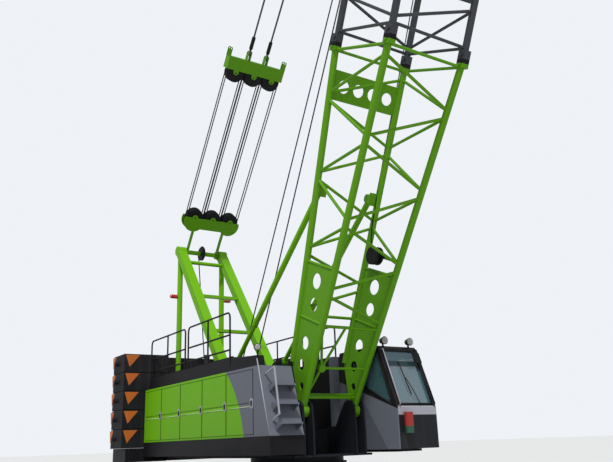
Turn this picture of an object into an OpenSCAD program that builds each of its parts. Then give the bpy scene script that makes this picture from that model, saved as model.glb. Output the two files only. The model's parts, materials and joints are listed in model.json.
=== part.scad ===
// Crawler crane with a lattice boom, at full size in millimetres.
// +X is forward, +Y is the machine's left and +Z is up. The modules measure from the swing
// centre on the ground; placed() then puts the origin under the middle of the whole crane.

/* [Undercarriage] */
// Length of each track over its shoes
track_len = 7400; // [6800:50:8000]
// Height of each track
track_h = 1160; // [1100:20:1240]
// Distance between the two tracks' centre lines
track_gauge = 5200; // [4900:50:5500]
// Width of a track shoe
shoe_w = 850; // [700:10:950]
// Number of shoes on each track
shoe_count = 60; // [54:2:64]
// Radius of the swing ring
ring_r = 1000; // [900:10:1080]

/* [House] */
// Distance from the centre plane to the outer face of a housing
house_y = 1600; // [1500:10:1700]
// Distance from the centre plane to the inner face of a housing
house_in = 895; // [870:5:950]
// Rear end of the housings
house_rear = -4567; // [-4600:1:-4500]
// Front end of the right housing at its foot
house_front = 1733; // [1650:1:1800]
// How far the front face leans back from foot to roof
house_lean = 389; // [200:1:500]
// Height of the deck's underside
deck_z = 1467; // [1440:1:1500]
// Height of the housings' foot, on top of the deck
house_z = 1796; // [1760:1:1840]
// Height of the housings' roof
roof_z = 3048; // [2950:1:3150]

/* [Cab] */
// Distance from the centre plane to the cab's inner side
cab_in = 735; // [730:5:760]
// Distance from the centre plane to the cab's outer side
cab_out = 1690; // [1650:5:1750]
// Front of the cab below its windscreen
cab_front = 2380; // [2300:10:2450]
// Rear wall of the cab
cab_rear = 560; // [500:10:640]
// Underside of the cab
cab_z = 1495; // [1490:1:1520]
// Top of the cab's roof
cab_top = 3430; // [3380:5:3480]

/* [Counterweight] */
// Number of slabs in the stack
slab_count = 5; // [3:1:5]
// Height of one slab
slab_h = 457; // [400:1:480]
// Half the width of a slab
slab_y = 2158; // [1900:2:2200]
// Front face of the slabs
slab_front = -4600; // [-4640:1:-4590]
// Rear face of the slabs
slab_rear = -5560; // [-5700:10:-5400]

/* [Boom] */
// Angle of the boom above the horizontal, as it stands
boom_angle = 66; // [66:1:66]
// Width and depth of the boom between chord centres
boom_w = 1700; // [1600:10:1800]
// Length of the base section
base_len = 6950; // [6900:10:7000]
// Length of each of the two middle sections
insert_len = 9000; // [9000:1:9000]
// Length of the top section
top_len = 6050; // [6000:10:6100]
// Outer diameter of a chord tube
chord_d = 133; // [120:1:146]
// Outer diameter of a lacing tube
lace_d = 60; // [50:1:66]
// Half the distance between the two boom feet
foot_y = 588; // [588:1:588]

/* [Rigging] */
// Diameter of a pendant
pendant_d = 46; // [36:1:52]
// Radius of the rope sheaves in the two spreaders
sheave_r = 235; // [220:1:240]
// How far the hook block hangs below the head sheaves
hook_drop = 6000; // [5800:100:7000]

/* [Hidden] */
SIDES = [-1, 1];
LIME = "yellowgreen";
GREY = "slategray";
DARK = "dimgray";
BLACK = "black";

// Boom: local X runs from foot to head, local Z is its upper side
boom_foot = [1200, 0, 2242];
foot_half = 75;
foot_boss_r = 130;
foot_pin_r = 45;
pin_gap = 0.6;
seat_gap = 0.3;
boom_h = boom_w / 2;
boom_len = base_len + 2 * insert_len + top_len;
head_u = boom_len;
bend_u = 776;
bend_z = 595;
plate_u = 2750;
plate_t = 22;
// Lacing levels of the base section, measured back from its upper end
base_levels = [for (back = [5210, 4620, 4010, 3310, 2550, 1800, 1020, 250]) base_len - back];
rib_u = 1690;
brow_u = base_len - 785;
lace_split = 70;
lace_sides = 12;

// Gantry and the two spreaders on the line from gantry top to boom head
gantry_top = [-4854, 0, 6842];
gantry_y = 607;
strut_foot = [-2020, 0, 3230];
leg_y = 620;
leg_x = -4885;
pendant_back = 450;
pendant_top = [boom_len - pendant_back, 430];
head_tip = boom_foot + [
    pendant_top[0] * cos(boom_angle) - pendant_top[1] * sin(boom_angle), 0,
    pendant_top[0] * sin(boom_angle) + pendant_top[1] * cos(boom_angle)
];
stay_angle = atan2(head_tip[2] - gantry_top[2], head_tip[0] - gantry_top[0]);
stay_len = norm(head_tip - gantry_top);
bridle_s = 5660;
spreader_s = 1000;
group_pitch = 520;

// Bed and winches
bed_front = 1420;
bed_rear = -4980;
girder_top = 1960;
lug_in = foot_y - foot_half - 46;
lug_out = foot_y + foot_half + 6;
lug_t = 40;
drum_half = 462;
DRUMS = [[-1700, 2480, 250, 400], [-3050, 2420, 270, 420], [-4120, 2350, 210, 340]];

// Backstops
stop_y = 600;
stop_boom = [4140, 825];
stop_foot = [-1450, 3476];

// The rope becket under the boom head, and the block that hangs below it
becket_back = 20;
becket = [boom_len - becket_back, -620];
becket_at = boom_foot + [
    becket[0] * cos(boom_angle) - becket[1] * sin(boom_angle), 0,
    becket[0] * sin(boom_angle) + becket[1] * cos(boom_angle)
];
block_r = 290;

// The origin lies under the middle of the whole crane, this far ahead of the swing centre
centre_x = (slab_rear + becket_at[0] + block_r) / 2;
module placed() {
    translate([-centre_x, 0, 0]) children();
}

// A round bar between two points, turned about its own length
module bar(p, q, d, sides = 32, turn = 0) {
    v = q - p;
    translate(p)
        rotate([0, acos(v[2] / norm(v)), atan2(v[1], v[0])])
            rotate([0, 0, turn]) cylinder(d = d, h = norm(v), $fn = sides);
}

// A flat bar between two points in a plane of constant Y
module strut(p, q, across, deep) {
    v = q - p;
    translate(p)
        rotate([0, acos(v[2] / norm(v)), atan2(v[1], v[0])])
            translate([-deep / 2, -across / 2, 0]) cube([deep, across, norm(v)]);
}

// A block from its low and high corners
module block(low, high) {
    translate(low) cube(high - low);
}

// A plate cut from an outline in X and Z, from y0 to y1
module side_plate(y0, y1) {
    translate([0, y1, 0]) rotate([90, 0, 0]) linear_extrude(y1 - y0) children();
}

// A cylinder along Y from y0 to y1 with its axis at x and z
module roll(x, z, r, y0, y1, sides = 48) {
    translate([x, y0, z]) rotate([-90, 0, 0]) cylinder(r = r, h = y1 - y0, $fn = sides);
}

track_r = track_h / 2;
track_x = track_len / 2 - track_r;
shoe_t = 55;
link_t = 75;
link_w = 300;
wheel_in = track_r - shoe_t - link_t - 4;
roller_r = 150;
roller_xs = [for (i = [-4:4]) i * 560];

// Outline of a stadium with its straight sides along X
module stadium(r) {
    hull_x = track_x;
    translate([-hull_x, -r]) square([2 * hull_x, 2 * r]);
    for (s = SIDES) translate([s * hull_x, 0]) circle(r = r, $fn = 64);
}

// One track: a band of links and a ring of flat shoes
module track(side) {
    straight = 2 * track_x;
    arc_r = track_r - shoe_t / 2;
    loop = 2 * straight + 2 * PI * arc_r;
    pitch = loop / shoe_count;
    shoe_len = pitch - 14;
    drop = track_r - sqrt(pow(track_r, 2) - pow(shoe_len / 2, 2));
    color(BLACK)
        translate([0, side * track_gauge / 2, track_r]) {
            side_plate(-link_w / 2, link_w / 2)
                difference() {
                    stadium(track_r - shoe_t + 8);
                    stadium(track_r - shoe_t - link_t);
                }
            side_plate(-shoe_w / 2, shoe_w / 2)
                for (i = [0:shoe_count - 1]) {
                    s = (i + 0.5) * pitch;
                    on_arc_1 = s > straight && s < straight + PI * arc_r;
                    on_arc_2 = s > 2 * straight + PI * arc_r;
                    turn = on_arc_1 ? (s - straight) / arc_r * 180 / PI
                        : on_arc_2 ? 180 + (s - 2 * straight - PI * arc_r) / arc_r * 180 / PI
                        : s <= straight ? 0 : 180;
                    centre = on_arc_1 ? track_x : on_arc_2 ? -track_x
                        : s <= straight ? s - track_x : straight + PI * arc_r + track_x - s;
                    out = (on_arc_1 || on_arc_2 ? track_r - drop : track_r) - shoe_t;
                    translate([centre, 0])
                        rotate(-turn) translate([-shoe_len / 2, out]) square([shoe_len, shoe_t]);
                }
        }
}

module track_left() placed() track(1);

module track_right() placed() track(-1);

// Idlers, sprockets and rollers: none of them touches another
module track_wheels() placed() {
    color(DARK)
        for (side = SIDES) {
            y = side * track_gauge / 2;
            for (end = SIDES)
                difference() {
                    roll(end * track_x, track_r, wheel_in, y - 130, y + 130, 64);
                    for (k = [0:5])
                        translate([end * track_x, 0, track_r])
                            rotate([0, k * 60, 0]) translate([0, 0, wheel_in * 0.62])
                                roll(0, 0, 70, y - 140, y + 140, 24);
                }
            for (x = roller_xs)
                roll(x, shoe_t + link_t + roller_r + 2, roller_r, y - 150, y + 150, 40);
            for (x = [-1500, 0, 1500])
                roll(x, track_h - shoe_t - link_t - 92, 90, y - 120, y + 120, 32);
        }
}

// Box girders that carry the wheels, with yokes at both ends
bracket_y = 430;
beam_x = 950;
beam_y = track_gauge / 2 - bracket_y - seat_gap;
module crawler_frames() placed() {
    cheek_t = 40;
    cheek_y = 165;
    color(DARK)
        for (side = SIDES) {
            y = side * track_gauge / 2;
            block([-2640, y - 205, 450], [2640, y + 205, 830]);
            for (c = SIDES) {
                y0 = y + c * (cheek_y + cheek_t / 2) - cheek_t / 2;
                side_plate(y0, y0 + cheek_t)
                    polygon([
                        [-3290, 440], [-3290, 720], [-2750, 830], [2750, 830], [3290, 720], [3290, 440],
                        [2750, 260], [-2750, 260]
                    ]);
                for (x = roller_xs)
                    roll(x, shoe_t + link_t + roller_r + 2, 58, y + c * 205 - 12, y + c * 205 + 12, 24);
            }
            // Travel motor housing on the inner side of the sprocket
            roll(-track_x, track_r, 265, y - (side > 0 ? 470 : -206), y + (side > 0 ? -206 : 470));
            // Bracket that takes the end of each cross beam
            for (x = SIDES)
                block([x * beam_x - 260, y - (side > 0 ? bracket_y : -200), 500],
                    [x * beam_x + 260, y - (side > 0 ? 200 : -bracket_y), 980]);
        }
}

// Car body with its four beams, towing lugs and the fixed half of the swing ring
tow_eye = [1330, 700];
tow_eye_r = 40;
module carbody() placed() {
    color(DARK) {
        for (x = SIDES)
            translate([0, 0, tow_eye[1] - 25])
                difference() {
                    linear_extrude(50) {
                        translate([x > 0 ? 1140 : -tow_eye[0], -90]) square([tow_eye[0] - 1140, 180]);
                        translate([x * tow_eye[0], 0]) circle(r = 90, $fn = 48);
                    }
                    translate([x * tow_eye[0], 0, -10]) cylinder(r = tow_eye_r, h = 70, $fn = 40);
                }
        difference() {
            union() {
                block([-1150, -1150, 520], [1150, 1150, 960]);
                for (x = SIDES) block([x * beam_x - 230, -beam_y, 540], [x * beam_x + 230, beam_y, 940]);
                translate([0, 0, 950]) cylinder(r = ring_r + 40, h = 130, $fn = 96);
            }
            translate([0, 0, 400]) cylinder(r = 420, h = 900, $fn = 64);
        }
        translate([0, 0, 1079]) difference() {
            cylinder(r = ring_r, h = 1300 - seat_gap - 1079, $fn = 96);
            translate([0, 0, -1]) cylinder(r = ring_r - 190, h = 230, $fn = 96);
        }
    }
}

// Rotating bed: base plate, two box girders, boom lugs and winch brackets
module bed() placed() {
    color(DARK) {
        difference() {
            union() {
                block([bed_rear, -880, 1400], [bed_front - 60, 880, 1440]);
                translate([0, 0, 1300]) cylinder(r = ring_r - 60, h = 110, $fn = 96);
            }
            translate([0, 0, 1290]) cylinder(r = 420, h = 200, $fn = 64);
        }
        for (side = SIDES) {
            y0 = side > 0 ? lug_in : -lug_out - lug_t;
            y1 = side > 0 ? lug_out + lug_t : -lug_in;
            block([bed_rear, y0, 1439], [760, y1, girder_top]);
            block([bed_rear, side > 0 ? lug_in + 1 : -764, 1439],
                [-1000, side > 0 ? 764 : -lug_in - 1, girder_top - 1]);
            // Boom lugs
            difference() {
                for (y = [lug_in, lug_out])
                    side_plate(side > 0 ? y : -y - lug_t, side > 0 ? y + lug_t : -y)
                        boom_lug_outline();
                roll(boom_foot[0], boom_foot[2], foot_pin_r, side * foot_y - 200, side * foot_y + 200, 48);
            }
            // Pins of the boom feet
            roll(boom_foot[0], boom_foot[2], foot_pin_r, side * foot_y - 125, side * foot_y + 125, 48);
            // Tower for the gantry strut and the backstop
            for (y = [472, 744])
                side_plate(side > 0 ? y : -y - 20, side > 0 ? y + 20 : -y)
                    difference() {
                        polygon([[-2330, girder_top - 420], [-2330, girder_top], [-2150, 3280],
                            [-1980, 3360],
                            [-1560, 3560], [-1380, 3560], [-1330, 3420], [-1180, girder_top],
                            [-1180, girder_top - 420]]);
                        translate([DRUMS[0][0], DRUMS[0][1]]) circle(r = 71, $fn = 48);
                    }
            roll(strut_foot[0], strut_foot[2], 40, side > 0 ? 475 : -760, side > 0 ? 760 : -475, 32);
            // Pin caps of the backstops, on the outer faces of the tower
            for (y = [452, 763])
                roll(stop_foot[0], stop_foot[1], 46, side > 0 ? y : -y - 20, side > 0 ? y + 20 : -y, 32);
            // Brackets for the two rear drums
            for (d = [DRUMS[1], DRUMS[2]])
                difference() {
                    side_plate(side > 0 ? 500 : -560, side > 0 ? 560 : -500)
                        union() {
                            polygon([[d[0] - 320, girder_top - 30], [d[0] + 320, girder_top - 30],
                                [d[0] + 110, d[1] + 60], [d[0] - 110, d[1] + 60]]);
                            translate([d[0], d[1]]) circle(r = 130, $fn = 40);
                        }
                    roll(d[0], d[1], 71, -600, 600, 40);
                }
            // Rear leg shoes
            block([leg_x - 110, side * leg_y - 110, girder_top - 20],
                [leg_x + 110, side * leg_y + 110, 2060]);
        }
        // Cross members between the girders
        for (x = [-4960, -2330, 420])
            block([x, -lug_in - 1, 1439], [x + 40, lug_in + 1, girder_top - 40]);
    }
}

module boom_lug_outline() {
    polygon([[740, 1440], [740, girder_top], [1010, 2330], [1390, 2330], [bed_front, 1900],
        [bed_front, 1440]]);
    translate([boom_foot[0], boom_foot[2]]) circle(r = 195, $fn = 64);
}

// Black decks that carry the housings and the cab
module side_decks() placed() {
    color(BLACK)
        for (side = SIDES) {
            y0 = side > 0 ? 885 : -house_y;
            y1 = side > 0 ? house_y : -885;
            difference() {
                block([house_rear, y0, deck_z], [side > 0 ? cab_rear - 20 : house_front, y1, house_z - 4]);
                for (i = [0:4])
                    block([house_rear + 160 + i * 1000, y0 + 60, deck_z - 10],
                        [house_rear + 1040 + i * 1000, y1 - 60, house_z - 60]);
            }
        }
    // Short arms that carry the cab
    color(BLACK) block([cab_rear - 20, 885, deck_z - 20], [2100, 1500, cab_z - 6]);
}

// Slab outline seen from above, with room for the gantry legs
module slab_outline() {
    notch_x = bed_rear - 60;
    bevel = 120;
    polygon([
        [slab_front, -slab_y], [slab_front, -1000], [notch_x, -1000], [notch_x, 1000], [slab_front, 1000],
        [slab_front, slab_y], [slab_rear + bevel, slab_y], [slab_rear, slab_y - bevel],
        [slab_rear, -slab_y + bevel], [slab_rear + bevel, -slab_y]
    ]);
}

slab_low = 1677;
module counterweight_tray() placed() {
    tray_z = slab_low - 327;
    color(BLACK) {
        translate([0, 0, tray_z]) linear_extrude(slab_low - tray_z - 4) intersection() {
            slab_outline();
            translate([slab_rear, -2050]) square([2000, 4100]);
        }
        for (y = [-760, 640]) block([bed_rear - 70, y, 1450], [bed_rear - 2, y + 120, 1650]);
    }
}

module counterweight_slabs() placed() {
    seam = 14;
    color(DARK)
        for (i = [0:slab_count - 1]) {
            z = slab_low + i * slab_h;
            translate([0, 0, z]) linear_extrude(slab_h - seam) slab_outline();
            if (i < slab_count - 1)
                translate([0, 0, z + slab_h - seam - 1]) linear_extrude(seam + 2)
                    intersection() {
                        slab_outline();
                        translate([slab_rear + 60, -slab_y + 60])
                            square([-60 - slab_rear + slab_front - 60, 2 * slab_y - 120]);
                    }
            // Lifting bollards on the sides
            for (s = SIDES)
                roll(-5080, z + slab_h / 2, 55, s > 0 ? slab_y - 5 : -slab_y - 90,
                    s > 0 ? slab_y + 90 : -slab_y + 5, 32);
        }
}

// Housings
wall_t = 30;
door_t = 40;
door_gap = 11;
hinge_in = 14;
hinge_r = 9;
hinge_len = 18;
door_low = house_z + 34;
door_high = roof_z - 48;
crease_z = 2360;
DOOR_SEAMS = [house_rear + 27, -3450, -2300, -1120, 20, 1144];

function face_x(z) = house_front - house_lean * (z - house_z) / (roof_z - house_z);

module housing_outline() {
    polygon([[house_rear, house_z], [house_front, house_z], [house_front - house_lean, roof_z],
        [house_rear, roof_z]]);
}

module housing_inside() {
    polygon([
        [house_rear + wall_t, house_z + wall_t], [house_front - wall_t - 12, house_z + wall_t],
        [face_x(roof_z - wall_t) - wall_t - 4, roof_z - wall_t], [house_rear + wall_t, roof_z - wall_t]
    ]);
}

module right_housing() placed() {
    color(LIME)
        difference() {
            side_plate(-house_y, -house_in) housing_outline();
            side_plate(-house_y + wall_t + door_t, -house_in - wall_t) housing_inside();
            for (i = [0:4])
                block([DOOR_SEAMS[i], -house_y - 10, door_low],
                    [DOOR_SEAMS[i + 1], -house_y + door_t + 5, door_high]);
            for (i = [0:4])
                block([DOOR_SEAMS[i] + 50, -house_y - 10, door_low + 50],
                    [DOOR_SEAMS[i + 1] - 50, -house_y + door_t + wall_t + 10, door_high - 50]);
            for (i = [0:4]) hinge_pin(DOOR_SEAMS[i], -1, seat_gap);
        }
}

// The pin that a door turns on, from one rim of its opening into the other
module hinge_pin(x0, side, grow = 0) {
    translate([x0 + door_gap / 2 + hinge_in, side * (house_y - hinge_in), door_low - hinge_len - grow])
        cylinder(r = hinge_r + grow, h = door_high - door_low + 2 * (hinge_len + grow), $fn = 32);
}

// A flat door on a pin at its rear edge, with a shadow line at mid height and a latch in front
module house_door(x0, x1, side) {
    outer = side * house_y;
    rear = x0 + door_gap / 2;
    front = x1 - door_gap / 2;
    low = door_low + door_gap;
    color(LIME) {
        hinge_pin(x0, side);
        difference() {
            translate([0, 0, low]) linear_extrude(door_high - door_gap - low)
                polygon([
                    [rear, outer - side * door_t], [rear, outer - side * hinge_in],
                        [rear + hinge_in, outer],
                    [front, outer], [front, outer - side * door_t]
                ]);
            translate([x0 - 1, 0, 0]) rotate([90, 0, 90]) linear_extrude(x1 - 119 - x0)
                polygon([[outer + side, crease_z - 46], [outer - side * 15, crease_z + 44],
                    [outer + side, crease_z + 44]]);
            block([x1 - 110, min(outer, outer - side * 20), crease_z - 60],
                [x1 - 40, max(outer, outer - side * 20), crease_z + 40]);
        }
        block([x1 - 100, min(outer - side * 21, outer - side * 6), crease_z - 50],
            [x1 - 50, max(outer - side * 21, outer - side * 6), crease_z + 30]);
    }
}

module right_door(i) house_door(DOOR_SEAMS[i - 1], DOOR_SEAMS[i], -1);
module right_door_1() placed() right_door(1);
module right_door_2() placed() right_door(2);
module right_door_3() placed() right_door(3);
module right_door_4() placed() right_door(4);
module right_door_5() placed() right_door(5);
module left_door_1() placed() house_door(DOOR_SEAMS[1], DOOR_SEAMS[2], 1);
module left_door_2() placed() house_door(DOOR_SEAMS[2], DOOR_SEAMS[3], 1);

// Left housing: radiator grille, two doors and a taller cabinet behind the cab
left_end = 350;
cabinet_rear = -620;
cabinet_top = 3395;
module left_housing() placed() {
    grille_pitch = 75;
    color(LIME)
        difference() {
            union() {
                block([house_rear, house_in, house_z], [cabinet_rear, house_y, roof_z]);
                block([cabinet_rear - 1, cab_in, house_z], [left_end, house_y, cabinet_top]);
            }
            block([house_rear + wall_t, house_in + wall_t, house_z + wall_t],
                [cabinet_rear - wall_t, house_y - wall_t - door_t, roof_z - wall_t]);
            for (i = [1, 2]) {
                block([DOOR_SEAMS[i], house_y - door_t - 5, door_low],
                    [DOOR_SEAMS[i + 1], house_y + 10, door_high]);
                block([DOOR_SEAMS[i] + 50, house_y - 90, door_low + 50],
                    [DOOR_SEAMS[i + 1] - 50, house_y + 10, door_high - 50]);
                hinge_pin(DOOR_SEAMS[i], 1, seat_gap);
            }
            for (z = [door_low + 90:grille_pitch:door_high - 120])
                block([house_rear + 160, house_y - 90, z], [DOOR_SEAMS[1] - 120, house_y + 10, z + 45]);
            for (z = [door_low + 90:grille_pitch:door_high - 120])
                block([cabinet_rear + 140, house_y - 40, z], [left_end - 140, house_y + 10, z + 45]);
        }
}

module engine() placed() {
    color(DARK) block([-3200, -1480, house_z + wall_t], [-1300, -1010, 2820]);
}

// A line of even width through the points, with mitred corners
function along(points, i) = let (v = points[min(i + 1, len(points) - 1)] - points[min(i,
    len(points) - 2)]) v / norm(v);
function mitre(points, i) = let (a = along(points, max(i - 1, 0)), b = along(points, i), m = a + b)
    [-m[1], m[0]] / (1 + a * b);
module stroke(points, half) {
    last = len(points) - 1;
    polygon([
        for (i = [0:last]) points[i] + half * mitre(points, i),
        for (i = [last:-1:0]) points[i] - half * mitre(points, i)
    ]);
}

// Three treads on the slanted front face, with cheeks and a grab rail
module front_steps() placed() {
    rail = 26;
    rail_out = 1490;
    step_y = 1460;
    step_deep = 215;
    color(GREY) {
        for (z = [1990, 2330, 2670]) {
            x = face_x(z) + 1;
            block([x, -step_y, z], [x + step_deep, -1010, z + 30]);
            for (y = [-step_y, -1030])
                side_plate(y, y + 20)
                    polygon([[x, z + 10], [x + step_deep, z + 10], [x + step_deep, z - 12],
                        [face_x(z - 110) + 1, z - 110]]);
        }
        points = [[face_x(2886) + 16, 2886], [1740, 2980], [1890, 2160], [face_x(2054) + 2, 2054]];
        side_plate(-rail_out - rail / 2, -rail_out + rail / 2) stroke(points, rail / 2);
    }
}

// Walkway gratings, their toe boards, handrails and the blank hood over the right front corner
rail_d = 38;
rail_y = 1520;
rail_top = 4250;
deck_top = 3330;
module handrail(x0, x1, y) {
    bend = 110;
    mid = (deck_top + rail_top) / 2;
    for (x = [x0, (x0 + x1) / 2, x1])
        bar([x, y, deck_top - 200], [x, y, x == x0 || x == x1 ? rail_top - bend : rail_top], rail_d, 20);
    bar([x0 + bend, y, rail_top], [x1 - bend, y, rail_top], rail_d, 20);
    for (z = [mid - 300, mid]) bar([x0, y, z], [x1, y, z], rail_d, 20);
    for (e = [[x0, 1], [x1, -1]])
        translate([e[0] + e[1] * bend, y, rail_top - bend])
            rotate([90, 0, 0]) rotate([0, 0, e[1] > 0 ? 90 : 0])
                rotate_extrude(angle = 90, $fn = 48) translate([bend, 0]) circle(d = rail_d, $fn = 20);
}

module walkways() placed() {
    foot = roof_z + seat_gap;
    hood = [[170, foot], [1335, foot], [1290, 3235], [230, 3300]];
    color(BLACK) {
        for (side = SIDES) {
            x1 = side > 0 ? cabinet_rear - 10 : 60;
            in_y = side > 0 ? house_in + 10 : -house_y + 70;
            out_y = side > 0 ? house_y - 70 : -house_in - 10;
            block([-4440, in_y, deck_top - 40], [x1, out_y, deck_top]);
            block([-4440, side * (rail_y + 10) - 8, foot], [x1, side * (rail_y + 10) + 8, deck_top]);
            for (x = [-4440, (x1 - 4440) / 2, x1 - 30])
                block([x, in_y, foot], [x + 30, out_y, deck_top - 30]);
            handrail(-4420, -2260, side * rail_y);
            handrail(-2090, x1 - 30, side * rail_y);
        }
        side_plate(-house_y + 5, -house_y + 150) polygon(hood);
    }
}

// Cab outline in X and Z, drawn in by the given wall thickness
screen_low = [cab_front, 2240];
screen_top = [1925, 3390];
cab_wall = 45;
module cab_outline(in = 0) {
    lean = (screen_low[0] - screen_top[0]) / (screen_top[1] - screen_low[1]);
    polygon([
        [cab_rear + in, cab_z + in], [cab_front - in, cab_z + in],
            [cab_front - in, screen_low[1] + in * 0.2],
        [screen_top[0] - in + lean * in * 0.6, screen_top[1] - in * 0.6],
            [screen_top[0] - 45 - in * 0.7, cab_top - in],
        [cab_rear + 60 + in, cab_top - in], [cab_rear + in, 3310 - in]
    ]);
}

// A band along the windscreen between two fractions of its height, from depth a to b behind its face
module screen_band(f0, f1, a, b) {
    run = screen_top - screen_low;
    out = [run[1], -run[0]] / norm(run);
    polygon([
        screen_low + f0 * run - a * out, screen_low + f1 * run - a * out,
        screen_low + f1 * run - b * out, screen_low + f0 * run - b * out
    ]);
}

module side_window(grow = 0) {
    polygon([
        [1040 - grow, 2700 - grow], [1390, 2700 - grow], [2250 + grow, 2300 - grow],
        [1880 + grow, 3300 + grow], [1040 - grow, 3300 + grow]
    ]);
}

cab_door_x = 980;
cab_door_z = [1600, 3330];
cab_door_gap = 6;
module door_outline(in = 0) {
    z = cab_door_z + [in, -in];
    polygon([[cab_door_x + in, z[0]], [2300 - in, z[0]], [2300 - in, 2270], [1895 - in, z[1]],
        [cab_door_x + in, z[1]]]);
}

// The pin that the cab door turns on
module cab_hinge_pin(grow = 0) {
    translate([cab_door_x + cab_door_gap + hinge_in, cab_out - 2 - hinge_in,
        cab_door_z[0] - hinge_len - grow])
        cylinder(r = hinge_r + grow, h = cab_door_z[1] - cab_door_z[0] + 2 * (hinge_len + grow), $fn = 32);
}

module cab_shell() placed() {
    color(GREY)
        difference() {
            side_plate(cab_in, cab_out) cab_outline();
            side_plate(cab_in + cab_wall, cab_out - cab_wall) cab_outline(cab_wall);
            side_plate(cab_in + 80, cab_out - 80) screen_band(0.06, 0.95, -20, 120);
            side_plate(cab_in - 10, cab_in + 100) side_window();
            side_plate(cab_out - 100, cab_out + 10) door_outline();
            block([cab_rear - 10, cab_in + 120, 2300], [cab_rear + 80, cab_out - 120, 3150]);
            cab_hinge_pin(seat_gap);
        }
}

module cab_glass() placed() {
    color("lightsteelblue", 0.5) {
        side_plate(cab_in + 81, cab_out - 81) screen_band(0.062, 0.948, 12, 20);
        side_plate(cab_in + 12, cab_in + 20) side_window(-1);
        block([cab_rear + 12, cab_in + 121, 2301], [cab_rear + 20, cab_out - 121, 3149]);
    }
}

module cab_door() placed() {
    rear = cab_door_x + cab_door_gap;
    color(GREY) cab_hinge_pin();
    color(GREY)
        difference() {
            side_plate(cab_out - cab_wall + 2, cab_out - 2) door_outline(cab_door_gap);
            translate([0, 0, cab_door_z[0]]) linear_extrude(cab_door_z[1] - cab_door_z[0])
                polygon([[rear - 9, cab_out + 7], [rear - 9, cab_out - 2 - hinge_in - 9],
                    [rear + hinge_in + 9, cab_out + 7]]);
            side_plate(cab_out - 100, cab_out + 10)
                polygon([[1080, 2200], [2210, 2200], [2210, 2310], [1850, 3230], [1080, 3230]]);
        }
    color(BLACK) side_plate(cab_out - 4, cab_out + 34) translate([1120, 2040]) square([180, 36]);
}

// Seat, side consoles, levers and a display
module cab_interior() placed() {
    mid = (cab_in + cab_out) / 2;
    floor_z = cab_z + cab_wall + seat_gap;
    color(BLACK) {
        block([900, mid - 230, floor_z], [1380, mid + 230, floor_z + 330]);
        block([880, mid - 250, floor_z + 330 + seat_gap], [1400, mid + 250, floor_z + 460]);
        strut([940, mid, floor_z + 440], [800, mid, floor_z + 1150], 460, 120);
        strut([800, mid, floor_z + 1170], [770, mid, floor_z + 1350], 260, 100);
        for (s = SIDES) {
            block([960, mid + s * 330 - 55, floor_z], [1560, mid + s * 330 + 55, floor_z + 620]);
            bar([1480, mid + s * 330, floor_z + 600], [1520, mid + s * 330, floor_z + 800], 24, 20);
            translate([1522, mid + s * 330, floor_z + 815]) sphere(r = 34, $fn = 24);
        }
        block([2000, mid - 200, floor_z], [2120, mid + 200, floor_z + 620]);
        block([1960, cab_in + 60, floor_z + 640], [2000, cab_in + 330, floor_z + 840]);
        block([1900, cab_in + 60, floor_z], [2000, cab_in + 120, floor_z + 660]);
    }
}

// Two work lamps on the roof and the stacked load lamps at the front corner
lens_r = 84;
module cab_lamps() placed() {
    color(BLACK)
        for (y = [cab_in + 190, cab_out - 120]) {
            bar([1840, y, cab_top + seat_gap], [1840, y, cab_top + 70], 40, 20);
            translate([1800, y, cab_top + 110]) rotate([0, 90, 0])
                cylinder(r1 = 55, r2 = 80, h = 110, $fn = 40);
        }
    lens_x = cab_front + lens_r + seat_gap;
    color("firebrick") translate([lens_x, cab_in + 190, 1895]) cylinder(r = lens_r, h = 250, $fn = 40);
    color("seagreen") translate([lens_x, cab_in + 190, 1770])
        cylinder(r = lens_r, h = 125 - seat_gap, $fn = 40);
}

// Winch drums, each with two flanges and stub shafts
module drum(i) {
    d = DRUMS[i];
    shaft = i == 0 ? 500 : 556;
    color(DARK) {
        roll(d[0], d[1], d[2], -drum_half + 30, drum_half - 30, 64);
        for (s = SIDES) roll(d[0], d[1], d[3], s > 0 ? drum_half - 34 : -drum_half,
            s > 0 ? drum_half : -drum_half + 34, 72);
        roll(d[0], d[1], 70, -shaft, shaft, 40);
    }
}

module front_drum() placed() drum(0);
module rear_drum() placed() drum(1);
module luff_drum() placed() drum(2);

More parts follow.
